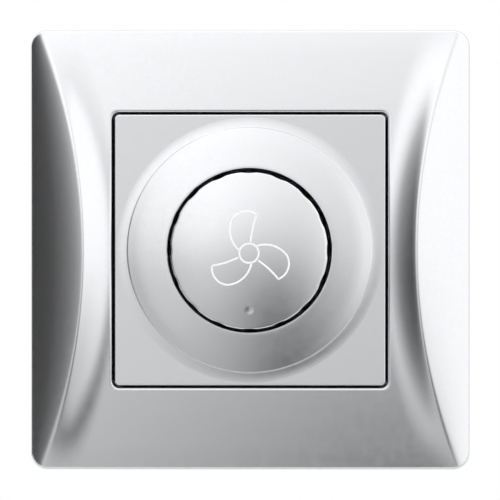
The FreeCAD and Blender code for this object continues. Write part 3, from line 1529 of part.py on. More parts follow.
os.makedirs("parts", exist_ok=True)
for name, part in PARTS.items():
    part.Shape.exportStep(f"parts/{name}.step")
    box = part.Shape.BoundBox
    print(f"{name:22s} {len(part.Shape.Solids)} solids {part.Shape.Volume:10.2f} mm3 "
          f"x {box.XMin:.2f}..{box.XMax:.2f} y {box.YMin:.2f}..{box.YMax:.2f} "
          f"z {box.ZMin:.2f}..{box.ZMax:.2f}")
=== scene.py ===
"""Looks of a rotary fan speed control: silver cover frame, centre plate, knob and insert.

The wall's surface is the plane y = 0 and the room lies towards -Y. Heights are measured
off the wall towards the room. Lengths are in metres unless a name says millimetres.
"""
from __future__ import annotations

import json
import logging
import math
from abc import ABC, abstractmethod
from dataclasses import dataclass
from enum import Enum
from typing import Callable, Mapping, Sequence, Union

import bmesh
import bpy
import numpy as np
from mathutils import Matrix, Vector

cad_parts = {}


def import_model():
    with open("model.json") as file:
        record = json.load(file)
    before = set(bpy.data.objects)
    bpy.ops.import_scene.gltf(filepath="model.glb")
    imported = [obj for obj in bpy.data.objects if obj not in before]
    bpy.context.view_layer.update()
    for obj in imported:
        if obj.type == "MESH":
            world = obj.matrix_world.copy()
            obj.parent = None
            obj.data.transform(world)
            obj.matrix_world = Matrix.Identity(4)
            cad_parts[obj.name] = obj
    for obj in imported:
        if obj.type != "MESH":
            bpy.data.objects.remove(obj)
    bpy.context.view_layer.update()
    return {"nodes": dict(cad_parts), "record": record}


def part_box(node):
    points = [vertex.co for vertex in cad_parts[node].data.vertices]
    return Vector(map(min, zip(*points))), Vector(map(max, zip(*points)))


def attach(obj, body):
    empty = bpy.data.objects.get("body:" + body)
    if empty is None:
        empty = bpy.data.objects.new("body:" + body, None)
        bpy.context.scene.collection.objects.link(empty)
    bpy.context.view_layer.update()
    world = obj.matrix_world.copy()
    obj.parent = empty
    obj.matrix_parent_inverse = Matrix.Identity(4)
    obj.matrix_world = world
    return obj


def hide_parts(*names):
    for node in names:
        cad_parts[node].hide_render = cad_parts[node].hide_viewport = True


LOG = logging.getLogger("fan_speed_control")
MM = 0.001
# Points closer than this become one.
WELD = 1e-7
# Least length that something is divided by.
TINY = 1e-9
# Edges that turn by more than this are shown sharp.
SHARP_ANGLE = math.radians(38)
# How often the corners of a soft profile are cut, and the share of each side that goes.
CORNER_CUTS = 3
CUT_SHARE = 0.25
# Share of the square round the opening that lies between the closer points at its corners.
SIDE_SHARE = 0.9
# Bands of a wave texture repeat after this length at a scale of 1.
WAVE_LENGTH = math.pi / 10
Number = Union[float, np.ndarray]
Tree = bpy.types.NodeTree
Socket = bpy.types.NodeSocket
Outputs = Mapping[str, Socket]
Pattern = tuple[Socket, Socket, Socket]
Setting = Union[float, int, str, bool, tuple, Socket]


class Body(Enum):
    """Bodies that the remade pieces move with."""

    INSERT = "insert"
    KNOB = "turning_knob"


# Meshes


def linked(name: str, data: bpy.types.ID) -> bpy.types.Object:
    """Make an object and link it to the scene.

    Args:
        name: the object's name.
        data: its mesh, camera or lamp.

    Returns:
        The new object.
    """
    thing = bpy.data.objects.new(name, data)
    bpy.context.scene.collection.objects.link(thing)
    return thing


class Shell:
    """Points and faces of one closed form, gathered strip by strip.

    Points are given as (x, height, z), with the height off the wall.
    """

    def __init__(self) -> None:
        """Start with nothing."""
        self.points: list[np.ndarray] = []
        self.faces: list[tuple[int, ...]] = []
        self.total = 0

    def add(self, x: Number, height: Number, z: Number) -> np.ndarray:
        """Add points.

        Args:
            x: places across, of any shape.
            height: heights off the wall, of the same shape or single.
            z: places up, of the same shape or single.

        Returns:
            The points' numbers, in the shape of the places.
        """
        across, off, up = np.broadcast_arrays(x, height, z)
        self.points.append(np.stack([across.ravel(), -off.ravel(), up.ravel()], axis=1))
        numbers = np.arange(self.total, self.total + across.size).reshape(across.shape)
        self.total += across.size
        return numbers

    def ring(self, turns: np.ndarray, distance: Number, height: Number) -> np.ndarray:
        """Add a loop about the knob's axis, at a distance and a height for each angle."""
        return self.add(distance * np.cos(turns), height, distance * np.sin(turns))

    def places(self, loop: np.ndarray) -> tuple[np.ndarray, np.ndarray, np.ndarray]:
        """Places across, heights and places up of a loop's points."""
        found = np.concatenate(self.points)[loop]
        return found[:, 0], -found[:, 1], found[:, 2]

    def copied(self, loop: np.ndarray, height: float) -> np.ndarray:
        """Copy a loop straight down to one height."""
        across, _, up = self.places(loop)
        return self.add(across, height, up)

    def strip(self, first: np.ndarray, second: np.ndarray) -> None:
        """Join two closed loops of equal length with four-sided faces."""
        after_first, after_second = np.roll(first, -1), np.roll(second, -1)
        self.faces.extend(zip(first.tolist(), after_first.tolist(),
                              after_second.tolist(), second.tolist()))

    def chain(self, loops: Sequence[np.ndarray]) -> None:
        """Join each closed loop to the next one."""
        for first, second in zip(loops, loops[1:]):
            self.strip(first, second)

    def sheet(self, grid: np.ndarray, keep: Callable[[int, int], bool] | None = None) -> None:
        """Fill a grid of points with four-sided faces.

        Args:
            grid: point numbers in rows and columns.
            keep: tells whether the cell at a row and column is filled.
        """
        rows, columns = grid.shape
        for row in range(rows - 1):
            for column in range(columns - 1):
                if keep is None or keep(row, column):
                    self.faces.append((int(grid[row, column]), int(grid[row, column + 1]),
                                       int(grid[row + 1, column + 1]), int(grid[row + 1, column])))

    def fan(self, loop: np.ndarray, centre: int) -> None:
        """Close a loop with triangles about a centre point."""
        after = np.roll(loop, -1)
        self.faces.extend((int(first), int(second), centre) for first, second in zip(loop, after))

    def build(self, name: str) -> bpy.types.Object:
        """Make the mesh object.

        Args:
            name: the object's name.

        Returns:
            The new object, linked to the scene.
        """
        mesh = bpy.data.meshes.new(name)
        mesh.from_pydata(np.concatenate(self.points).tolist(), [], self.faces)
        work = bmesh.new()
        work.from_mesh(mesh)
        bmesh.ops.remove_doubles(work, verts=work.verts, dist=WELD)
        bmesh.ops.recalc_face_normals(work, faces=work.faces)
        work.to_mesh(mesh)
        work.free()
        mesh.shade_smooth()
        mesh.set_sharp_from_angle(angle=SHARP_ANGLE)
        piece = linked(name, mesh)
        LOG.info("%s: %d faces", name, len(mesh.polygons))
        return piece


def spaced(start: float, end: float, count: int) -> np.ndarray:
    """Evenly spaced places from start to end, without the end."""
    return start + (end - start) * (np.arange(count) / count)


def soft_least(first: Number, second: Number, blend: float) -> Number:
    """Lower of two values, rounded over where they are closer than the blend."""
    overlap = np.maximum(blend - np.abs(first - second), 0) / blend
    return np.minimum(first, second) - overlap * overlap * blend / 4


def edge_curve(run: float, fall: Number, drop: float, steps: int) -> list[tuple[float, Number]]:
    """Rounded edge from a face to a wall that is square to the back.

    Args:
        run: how far the edge reaches outwards.
        fall: how much the face falls over that run.
        drop: how much further down the wall starts.
        steps: how many points.

    Returns:
        Pairs of outward reach and fall, from the face to the wall, without the start.
    """
    shares = [step / steps for step in range(1, steps + 1)]
    return [(run * (1 - (1 - share) ** 2),
             2 * share * (1 - share) * fall + share * share * (fall + drop)) for share in shares]


def softened(corners: Sequence[tuple[float, float]]) -> np.ndarray:
    """Profile with its inner corners cut off again and again until it is smooth.

    Args:
        corners: radius and height of each corner.

    Returns:
        Radius and height of each point of the smooth profile.
    """
    line = np.array(corners, float)
    for _ in range(CORNER_CUTS):
        early = (1 - CUT_SHARE) * line[:-1] + CUT_SHARE * line[1:]
        late = CUT_SHARE * line[:-1] + (1 - CUT_SHARE) * line[1:]
        between = np.stack([early, late], axis=1).reshape(-1, 2)
        line = np.concatenate([line[:1], between[1:-1], line[-1:]])
    return line


# Finishes


def linear(colour: str) -> tuple[float, float, float, float]:
    """Turn an sRGB colour to a linear one.

    Args:
        colour: hex value such as #A0B0C0.

    Returns:
        Red, green, blue and alpha.
    """
    parts = [int(colour[start:start + 2], 16) / 255 for start in (1, 3, 5)]
    red, green, blue = (part / 12.92 if part <= 0.04045 else ((part + 0.055) / 1.055) ** 2.4
                        for part in parts)
    return red, green, blue, 1.0


def add_node(tree: Tree, kind: str, inputs: dict[str | int, Setting] | None = None,
             stops: Sequence[tuple[float, Sequence[float]]] = (), **settings: Setting) -> Outputs:
    """Add a node with its settings and links.

    Args:
        tree: node tree that gets it.
        kind: the node's type, such as ShaderNodeMath.
        inputs: value, or socket to link from, for each input by name or number.
        stops: place and colour of each stop, for a node with a colour ramp.
        **settings: the node's own properties.

    Returns:
        The new node's outputs by name.
    """
    node = tree.nodes.new(kind)
    for name, setting in settings.items():
        setattr(node, name, setting)
    for key, entry in (inputs or {}).items():
        if isinstance(entry, Socket):
            tree.links.new(entry, node.inputs[key])
        else:
            node.inputs[key].default_value = entry
    for index, (place, colour) in enumerate(stops):
        elements = node.color_ramp.elements
        element = elements[index] if index < len(elements) else elements.new(place)
        element.position = place
        element.color = colour
    return node.outputs


def blank_material(name: str) -> tuple[bpy.types.Material, Tree, Socket]:
    """Start a material.

    Args:
        name: the finish's name.

    Returns:
        The material, its node tree and the coordinates of the object's own space.
    """
    material = bpy.data.materials.new(name)
    material.use_nodes = True
    tree = material.node_tree
    tree.nodes.clear()
    return material, tree, add_node(tree, "ShaderNodeTexCoord")["Object"]


def per_metre(size_mm: float) -> float:
    """Scale of a cloud or cell pattern whose features are as wide as a size in millimetres."""
    return 1 / (size_mm * MM)


def wave_scale(spacing_mm: float) -> float:
    """Scale of a band pattern whose bands repeat after a distance in millimetres."""
    return WAVE_LENGTH / (spacing_mm * MM)


def finish_material(tree: Tree, inputs: dict[str, Setting]) -> None:
    """End a material with one shader that has these inputs."""
    shader = add_node(tree, "ShaderNodeBsdfPrincipled", inputs)
    add_node(tree, "ShaderNodeOutputMaterial", {"Surface": shader["BSDF"]})


@dataclass(frozen=True)
class Finish(ABC):
    """What every finish has: two tones that a pattern mixes, a sheen and a low relief.

    Attributes:
        name: the material slot.
        tone: colour where the pattern is high.
        shade: colour where the pattern is low.
        roughness: how dull the sheen is.
        metallic: 1 for metal and 0 for anything else.
        depth_mm: height of the relief.
        spread: share by which the roughness goes up and down with the pattern.
        low: share of the pattern up to which the shade holds.
        high: share of the pattern from which the tone holds.
    """

    name: str
    tone: str
    shade: str
    roughness: float = 0.4
    metallic: float = 0.0
    depth_mm: float = 0.004
    spread: float = 0.0
    low: float = 0.3
    high: float = 0.7

    @abstractmethod
    def pattern(self, tree: Tree, place: Socket) -> Pattern:
        """Add the nodes that vary the finish over the surface.

        Args:
            tree: the material's node tree.
            place: coordinates of the object's own space.

        Returns:
            Sockets that vary the tone, the relief and the roughness.
        """

    def extras(self) -> dict[str, Setting]:
        """Shader inputs that only this finish has."""
        return {}

    def material(self) -> bpy.types.Material:
        """Make the material; what is the same all over is set on the shader itself.

        Returns:
            The material.
        """
        material, tree, place = blank_material(self.name)
        tint, height, dullness = self.pattern(tree, place)
        relief = add_node(tree, "ShaderNodeBump", {"Height": height, "Distance": self.depth_mm * MM})
        colour: Setting = linear(self.tone)
        if self.shade != self.tone:
            colour = add_node(tree, "ShaderNodeValToRGB", {"Fac": tint}, stops=(
                (self.low, linear(self.shade)), (self.high, linear(self.tone))))["Color"]
        rough: Setting = self.roughness
        if self.spread:
            rough = add_node(tree, "ShaderNodeMapRange", {
                "Value": dullness, "To Min": self.roughness * (1 - self.spread),
                "To Max": self.roughness * (1 + self.spread)})["Result"]
        finish_material(tree, {
            "Base Color": colour, "Metallic": self.metallic, "Roughness": rough,
            "Normal": relief["Normal"], **self.extras()})
        return material


@dataclass(frozen=True)
class SilverLacquer(Finish):
    """Aluminium-pigment lacquer sprayed on moulded ABS and cured smooth.

    The eye gets a clean satin silver whose soft reflections change from white to dark grey as the
    surface turns, with a faint sparkle of the flakes.
    """

    name: str = "silver_lacquer"
    tone: str = "#DADBDD"
    shade: str = "#D2D3D6"
    roughness: float = 0.2
    metallic: float = 1.0
    depth_mm: float = 0.0004
    spread: float = 0.1
    low: float = 0.1
    high: float = 0.6
    flake_mm: float = 0.16
    peel_mm: float = 1.4

    def pattern(self, tree: Tree, place: Socket) -> Pattern:
        """Flakes, drawn coarser than real ones so that they show, and a faint orange peel.

        Args:
            tree: the material's node tree.
            place: coordinates of the object's own space.

        Returns:
            Sockets that vary the tone, the relief and the roughness.
        """
        flakes = add_node(tree, "ShaderNodeTexVoronoi", {"Vector": place, "Scale": per_metre(self.flake_mm)})
        peel = add_node(tree, "ShaderNodeTexNoise", {
            "Vector": place, "Scale": per_metre(self.peel_mm), "Detail": 1.0})["Fac"]
        return flakes["Distance"], peel, peel


@dataclass(frozen=True)
class Clouded(Finish):
    """Finish with clouds of tone and a fine grain on top."""

    cloud_mm: float = 7.0
    cloud_detail: float = 2.0
    grain_mm: float = 0.35
    grain_detail: float = 3.0

    def pattern(self, tree: Tree, place: Socket) -> Pattern:
        """Clouds for the tone and the sheen, grain for the relief."""
        cloud, grain = (add_node(tree, "ShaderNodeTexNoise", {
            "Vector": place, "Scale": per_metre(size), "Detail": detail})["Fac"]
            for size, detail in ((self.cloud_mm, self.cloud_detail), (self.grain_mm, self.grain_detail)))
        return cloud, grain, cloud


@dataclass(frozen=True)
class Moulding(Clouded):
    """Moulded thermoplastic with a fine spark-eroded grain: even colour, soft dull sheen."""


@dataclass(frozen=True)
class Metal(Clouded):
    """Plain or plated metal: clouded reflections from rolling, plating or drawing."""

    metallic: float = 1.0
    depth_mm: float = 0.002
    spread: float = 0.25
    cloud_detail: float = 4.0
    grain_mm: float = 0.3
    grain_detail: float = 2.0


@dataclass(frozen=True)
class Laminate(Finish):
    """Pressed glass-cloth or paper laminate: the weave shows faintly through the resin."""

    depth_mm: float = 0.003
    weave_mm: float = 0.5
    waviness: float = 0.4

    def pattern(self, tree: Tree, place: Socket) -> Pattern:
        """Two crossed sets of threads.

        Args:
            tree: the material's node tree.
            place: coordinates of the object's own space.

        Returns:
            Sockets that vary the tone, the relief and the roughness.
        """
        warp, weft = (add_node(tree, "ShaderNodeTexWave", {
            "Vector": place, "Scale": wave_scale(self.weave_mm), "Distortion": self.waviness,
        }, bands_direction=direction)["Fac"] for direction in ("X", "Z"))
        weave = add_node(tree, "ShaderNodeMath", {0: warp, 1: weft}, operation="MULTIPLY")["Value"]
        return weave, weave, weave


@dataclass(frozen=True)
class Lined(Finish):
    """Finish with level lines, one above the other."""

    line_mm: float = 0.7
    waviness: float = 2.0

    def pattern(self, tree: Tree, place: Socket) -> Pattern:
        """One set of bands."""
        lines = add_node(tree, "ShaderNodeTexWave", {
            "Vector": place, "Scale": wave_scale(self.line_mm), "Distortion": self.waviness,
        }, bands_direction="Z")["Fac"]
        return lines, lines, lines


@dataclass(frozen=True)
class ClearGlass(Lined):
    """Drawn soda glass: clear and glossy, with faint draw lines."""

    name: str = "clear_glass"
    tone: str = "#F4FAF8"
    shade: str = "#F4FAF8"
    roughness: float = 0.03
    depth_mm: float = 0.001
    refraction: float = 1.5

    def extras(self) -> dict[str, Setting]:
        """Let light through."""
        return {"IOR": self.refraction, "Transmission Weight": 1.0}


@dataclass(frozen=True)
class Enamelled(Lined):
    """Copper wire under clear enamel: warm and glossy, with a line of painted shade wherever two turns meet.
    """

    name: str = "enamelled_copper"
    tone: str = "#B4623A"
    # The dark shade colour below, held up to the low stop, is painted shade in the groove where two turns of
    # wire meet.
    shade: str = "#5E2A17"
    roughness: float = 0.22
    metallic: float = 0.8
    depth_mm: float = 0.05
    low: float = 0.1
    high: float = 0.5
    line_mm: float = 0.8
    waviness: float = 0.6
    enamel: float = 0.6

    def extras(self) -> dict[str, Setting]:
        """Coat the wire with enamel."""
        return {"Coat Weight": self.enamel}


FINISHES: tuple[Finish, ...] = (
    SilverLacquer(),
    Moulding("print_white", "#FFFFFF", "#FBFBFB", 0.5, depth_mm=0.001, cloud_mm=4.0, grain_mm=0.2),
    Metal("zinc_steel", "#C9CCD0", "#9DA1A8", 0.34, cloud_mm=2.2),
    Metal("nickel_brass", "#CFCBC0", "#B3AD9F", 0.24, cloud_mm=1.6),
    Metal("brass", "#D9B560", "#B28C3E", 0.26, cloud_mm=1.8),
    Metal("spring_steel", "#A9ADB3", "#7D8188", 0.28, cloud_mm=1.2),
    Moulding("white_insulator", "#ECECE6", "#E4E4DD", 0.42),
    Moulding("black_insulator", "#2A2B2D", "#222325", 0.5),
    Laminate("board_laminate", "#4E7A4B", "#3C6440"),
    Laminate("track_laminate", "#6E4A2C", "#55371F", weave_mm=0.4),
    Moulding("blue_insulator", "#2E62A6", "#27548F", 0.4),
    Metal("aluminium", "#D3D5D8", "#B5B8BC", 0.36, cloud_mm=1.4),
    Moulding("iron_powder", "#D6C65A", "#C4B24A", 0.55, depth_mm=0.006, cloud_mm=5.0, grain_mm=0.25),
    Enamelled(),
    Moulding("film_case", "#C7A23C", "#B8942F", 0.38),
    Moulding("diac_glass", "#3A5F9E", "#2F4F87", 0.18),
    Moulding("resistor_body", "#7FB3C9", "#6AA1B9", 0.32),
    ClearGlass(),
)


# Sub-assemblies


@dataclass
class FrameSheet:
    """One curved face of the cover frame, between its outline and its square opening.

    Attributes:
        half: half of the outline's width.
        corner: radius of the outline's corners.
        square: half of the square round the opening where the rows give way to loops.
        height: height of the face at a place across and up.
        crest: place across of the ridge's crest at a height up.
        sweep: width of the sweep that leads up to the crest.
        crest_reach: half of the width over which the points are closer together at the crest.
        crest_room: least distance of the crest from the square.
        least: least width of every other band of points.
    """

    half: float
    corner: float
    square: float
    height: Callable[[Number, Number], Number]
    crest: Callable[[Number], Number]
    sweep: float
    band_steps: int = 18
    crest_steps: int = 14
    sweep_steps: int = 16
    flat_steps: int = 6
    side_steps: int = 44
    corner_steps: int = 14
    arc_steps: int = 16
    end_steps: int = 20
    crest_reach: float = 0.9 * MM
    crest_room: float = 0.36 * MM
    least: float = 0.12 * MM

    def inner_places(self) -> np.ndarray:
        """Places along the square round the opening, closer together at its corners.

        Returns:
            Places from the lowest to the highest.
        """
        near = SIDE_SHARE * self.square
        ends = spaced(near, self.square, self.corner_steps)
        middle = np.linspace(-near, near, self.side_steps + 1)[1:-1]
        return np.concatenate([[-self.square], -ends[::-1], middle, ends, [self.square]])

    def rows(self) -> tuple[np.ndarray, np.ndarray]:
        """Places up of the rows, and half of the outline's width at each.

        Returns:
            Places up, and half widths.
        """
        straight = self.half - self.corner
        turn = np.linspace(0, math.pi / 2, self.arc_steps + 1)
        above = spaced(self.square, straight, self.end_steps)[1:]
        up = np.concatenate([above, straight + self.corner * np.sin(turn)])
        wide = np.concatenate([np.full(above.size, self.half), straight + self.corner * np.cos(turn)])
        inner = self.inner_places()
        return (np.concatenate([-up[::-1], inner, up]),
                np.concatenate([wide[::-1], np.full(inner.size, self.half), wide]))

    def columns(self, up: float, wide: float) -> np.ndarray:
        """Places across of one row's points: band, crest, sweep and flat on each side.

        Args:
            up: the row's place up.
            wide: half of the outline's width there.

        Returns:
            Places from left to right.
        """
        crest = float(np.clip(self.crest(up), self.square + self.crest_room, wide - self.least))
        foot = float(np.clip(crest - self.sweep, self.square + self.least, crest - self.least))
        reach = min(self.crest_reach, (wide - crest) / 2, (crest - foot) / 2)
        side = np.concatenate([
            spaced(wide, crest + reach, self.band_steps),
            spaced(crest + reach, crest - reach, self.crest_steps),
            spaced(crest - reach, foot, self.sweep_steps),
            spaced(foot, self.square, self.flat_steps),
        ])
        return np.concatenate([-side, self.inner_places(), side[::-1]])

    def fill(self, shell: Shell) -> tuple[np.ndarray, np.ndarray]:
        """Add the face to a shell.

        Args:
            shell: form that gets it.

        Returns:
            Numbers of the points along the outline, and of those round the square,
            both from their low left corner, to the right first.
        """
        ups, wides = self.rows()
        grid_x = np.stack([self.columns(up, wide) for up, wide in zip(ups, wides)])
        grid_z = np.repeat(ups[:, None], grid_x.shape[1], axis=1)
        grid = shell.add(grid_x, self.height(grid_x, grid_z), grid_z)
        rows, columns = grid.shape
        inner = self.inner_places().size
        low_row, low_column = (rows - inner) // 2, (columns - inner) // 2
        high_row, high_column = low_row + inner - 1, low_column + inner - 1
        shell.sheet(grid, lambda row, column: not (low_row <= row < high_row
                                                   and low_column <= column < high_column))

        def around(first_row: int, last_row: int, first: int, last: int) -> np.ndarray:
            """Loop round a block of the grid."""
            return np.concatenate([
                grid[first_row, first:last], grid[first_row:last_row, last],
                grid[last_row, last:first:-1], grid[last_row:first_row:-1, first]])

        return (around(0, rows - 1, 0, columns - 1),
                around(low_row, high_row, low_column, high_column))


@dataclass
class CoverFrame:
    """Square cover frame, one moulding, with two curved side ridges and a square opening.

    Attributes:
        half: half of the frame's width.
        top: height of the ridges halfway up.
        opening: half of the opening's width.
        fall: how much lower the face is at the upper and lower edges than halfway up.
        side_fall: how much lower it would be at the side edges than in the middle.
        rise: height of the sweep halfway up; end_rise is what is left at the ends.
        rise_taper: the higher, the sooner the sweep loses its height.
        ridge_inset: how far in a ridge's crest lies halfway up; ridge_end_inset at the ends.
        probe_share: share of an edge's run over which the slope of the face is taken.
        steepest: highest slope that the edge follows.
    """

    half: float
    top: float
    opening: float
    corner: float = 3.1 * MM
    inner_corner: float = 0.775 * MM
    wall: float = 2.0 * MM
    rim: float = 6.4 * MM
    fall: float = 1.3 * MM
    side_fall: float = 0.5 * MM
    rise: float = 1.7 * MM
    end_rise: float = 0.12 * MM
    rise_taper: float = 1.15
    ridge_inset: float = 10.2 * MM
    ridge_end_inset: float = 2.2 * MM
    sweep: float = 6.8 * MM
    sweep_reach: float = 7.48 * MM
    crest_slope: float = 0.14
    crest_blend: float = 0.36 * MM
    edge: float = 0.45 * MM
    opening_corner: float = 1.32 * MM
    opening_edge: float = 0.35 * MM
    opening_draft: float = 0.08 * MM
    skirt_wall: float = 1.5 * MM
    skirt_foot: float = 1.2 * MM
    ledge: float = 1.0 * MM
    ledge_corner: float = 0.99 * MM
    ledge_height: float = 2.8 * MM
    groove: float = 1.4 * MM
    band_margin: float = 1.3 * MM
    probe_share: float = 0.25
    steepest: float = 1.5
    edge_steps: int = 6
    mouth_steps: int = 4

    def crest(self, up: Number, inset: float) -> Number:
        """Place across of the right ridge's crest.

        Args:
            up: places up.
            inset: how far in the face lies.

        Returns:
            Places across.
        """
        bow = self.ridge_inset - self.ridge_end_inset
        radius = (self.half ** 2 + bow ** 2) / (2 * bow)
        return self.half - inset - self.ridge_inset + radius - np.sqrt(radius ** 2 - up ** 2)

    def height(self, across: Number, up: Number, inset: float) -> Number:
        """Height of the face that lies in by an inset.

        Args:
            across: places across.
            up: places up.
            inset: 0 on the outside and the wall's thickness on the inside.

        Returns:
            Heights off the wall.
        """
        share = 1 - (up / self.half) ** 2
        crest = self.crest(up, inset)
        side = np.minimum(np.abs(across), crest) / self.half
        face = self.top - self.rise - self.fall * (1 - share) - self.side_fall * side ** 2 - inset
        rise = self.end_rise + (self.rise - self.end_rise) * share ** self.rise_taper
        beyond = np.abs(across) - crest
        sweep_radius = (self.sweep ** 2 + rise ** 2) / (2 * rise)
        run = np.clip(beyond + self.sweep, 0, self.sweep_reach)
        inner = face + sweep_radius - np.sqrt(sweep_radius ** 2 - run ** 2)
        width = self.half - inset - crest
        drop = face + rise - (self.rim - inset)
        slope = np.minimum(self.crest_slope, drop / width)
        along = np.clip(beyond, 0, width)
        outer = face + rise - slope * along - (drop - slope * width) * (along / width) ** 2
        return soft_least(inner, outer, self.crest_blend)

    def slope_loop(self, shell: Shell, loop: np.ndarray, outward: np.ndarray, run: float,
                   steps: int) -> list[np.ndarray]:
        """Round the edge of the face towards a wall.

        Args:
            shell: form that holds the loop.
            loop: points of the face along the edge.
            outward: unit direction of the wall from each point, across and up.
            run: how far the wall is from the loop.
            steps: how many loops the edge gets.

        Returns:
            The new loops, the last one on the wall.
        """
        across, height, up = shell.places(loop)
        probe = outward * run * self.probe_share
        further = self.height(across + probe[:, 0], up + probe[:, 1], 0)
        fall = np.clip((height - further) / self.probe_share, 0, self.steepest * run)
        return [shell.add(across + outward[:, 0] * reach, height - lower, up + outward[:, 1] * reach)
                for reach, lower in edge_curve(run, fall, run, steps)]

    def outward(self, shell: Shell, loop: np.ndarray, straight: float) -> np.ndarray:
        """Direction out of a rounded square at each point of a loop.

        Args:
            shell: form that holds the loop.
            loop: points along the square.
            straight: place where the square's corners start.

        Returns:
            Unit directions, across and up.
        """
        across, _, up = shell.places(loop)
        away = np.stack([across, up], axis=1)
        ahead = away - np.clip(away, -straight, straight)
        length = np.linalg.norm(ahead, axis=1, keepdims=True)
        return ahead / np.maximum(length, TINY)

    def square_loop(self, shell: Shell, loop: np.ndarray, square: float, half: float,
                    corner: float, height: float | None, inset: float = 0.0) -> np.ndarray:
        """Copy a loop round a sharp square onto a rounded one.

        Args:
            shell: form that holds the loop.
            loop: points round the sharp square.
            square: half of its width.
            half: half of the rounded square's width.
            corner: radius of its corners.
            height: the new height, or None for the height of a face.
            inset: how far in that face lies.

        Returns:
            The new loop.
        """
        across, _, up = shell.places(loop)
        straight = half - corner
        on_side = np.abs(across) >= np.abs(up)
        long = np.where(on_side, across, up)
        short = np.where(on_side, up, across)
        side = SIDE_SHARE * square
        turn = np.clip((np.abs(short) - side) / (square - side), 0, 1) * math.pi / 4
        run = np.minimum(np.abs(short) / side, 1) * straight + corner * np.sin(turn)
        new_long = np.sign(long) * (straight + corner * np.cos(turn))
        new_short = np.sign(short) * run
        new_across = np.where(on_side, new_long, new_short)
        new_up = np.where(on_side, new_short, new_long)
        level = self.height(new_across, new_up, inset) if height is None else height
        return shell.add(new_across, level, new_up)

    def build(self) -> bpy.types.Object:
        """Make the frame as one closed form.

        Returns:
            The frame's object.
        """
        shell = Shell()
        outer = FrameSheet(self.half - self.edge, self.corner - self.edge, self.opening + self.band_margin,
                           lambda x, z: self.height(x, z, 0), lambda z: self.crest(z, 0), self.sweep)
        rim_loop, face_square = outer.fill(shell)
        outward = self.outward(shell, rim_loop, self.half - self.corner)
        edge_loops = self.slope_loop(shell, rim_loop, outward, self.edge, self.edge_steps)
        foot = shell.copied(edge_loops[-1], 0.0)
        shell.chain([rim_loop, *edge_loops, foot])

        skirt, skirt_corner = self.opening + self.skirt_wall, self.opening_corner + self.skirt_wall
        inner = FrameSheet(self.half - self.wall, self.inner_corner, skirt + self.band_margin,
                           lambda x, z: self.height(x, z, self.wall),
                           lambda z: self.crest(z, self.wall), self.sweep)
        roof_loop, roof_square = inner.fill(shell)
        shell.chain([foot, shell.copied(roof_loop, 0.0), roof_loop])

        lip = self.opening + self.opening_draft + self.opening_edge
        lip_corner = self.opening_corner + self.opening_edge
        loops = [face_square]
        for share in np.arange(1, self.mouth_steps + 1) / self.mouth_steps:
            half = outer.square + (lip - outer.square) * share
            loops.append(self.square_loop(shell, face_square, outer.square, half, lip_corner * share, None))
        inward = -self.outward(shell, loops[-1], lip - lip_corner)
        loops.extend(self.slope_loop(shell, loops[-1], inward, self.opening_edge, self.mouth_steps))
        shelf = self.opening - self.ledge
        for half, corner, height in (
                (self.opening, self.opening_corner, self.ledge_height - self.groove),
                (shelf, self.ledge_corner, self.ledge_height),
                (shelf, self.ledge_corner, self.skirt_foot),
                (skirt, skirt_corner, self.skirt_foot)):
            loops.append(self.square_loop(shell, face_square, outer.square, half, corner, height))
        loops.append(self.square_loop(shell, roof_square, inner.square, skirt, skirt_corner,
                                      None, self.wall))
        shell.chain([*loops, roof_square])
        return shell.build("cover_frame_moulding")

    def dress(self, piece: bpy.types.Object, silver: bpy.types.Material) -> None:
        """Lacquer the frame and put it in the node's place.

        Args:
            piece: the frame.
            silver: the lacquer.
        """
        piece.data.materials.append(silver)
        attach(piece, Body.INSERT.value)
        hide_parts("frame")


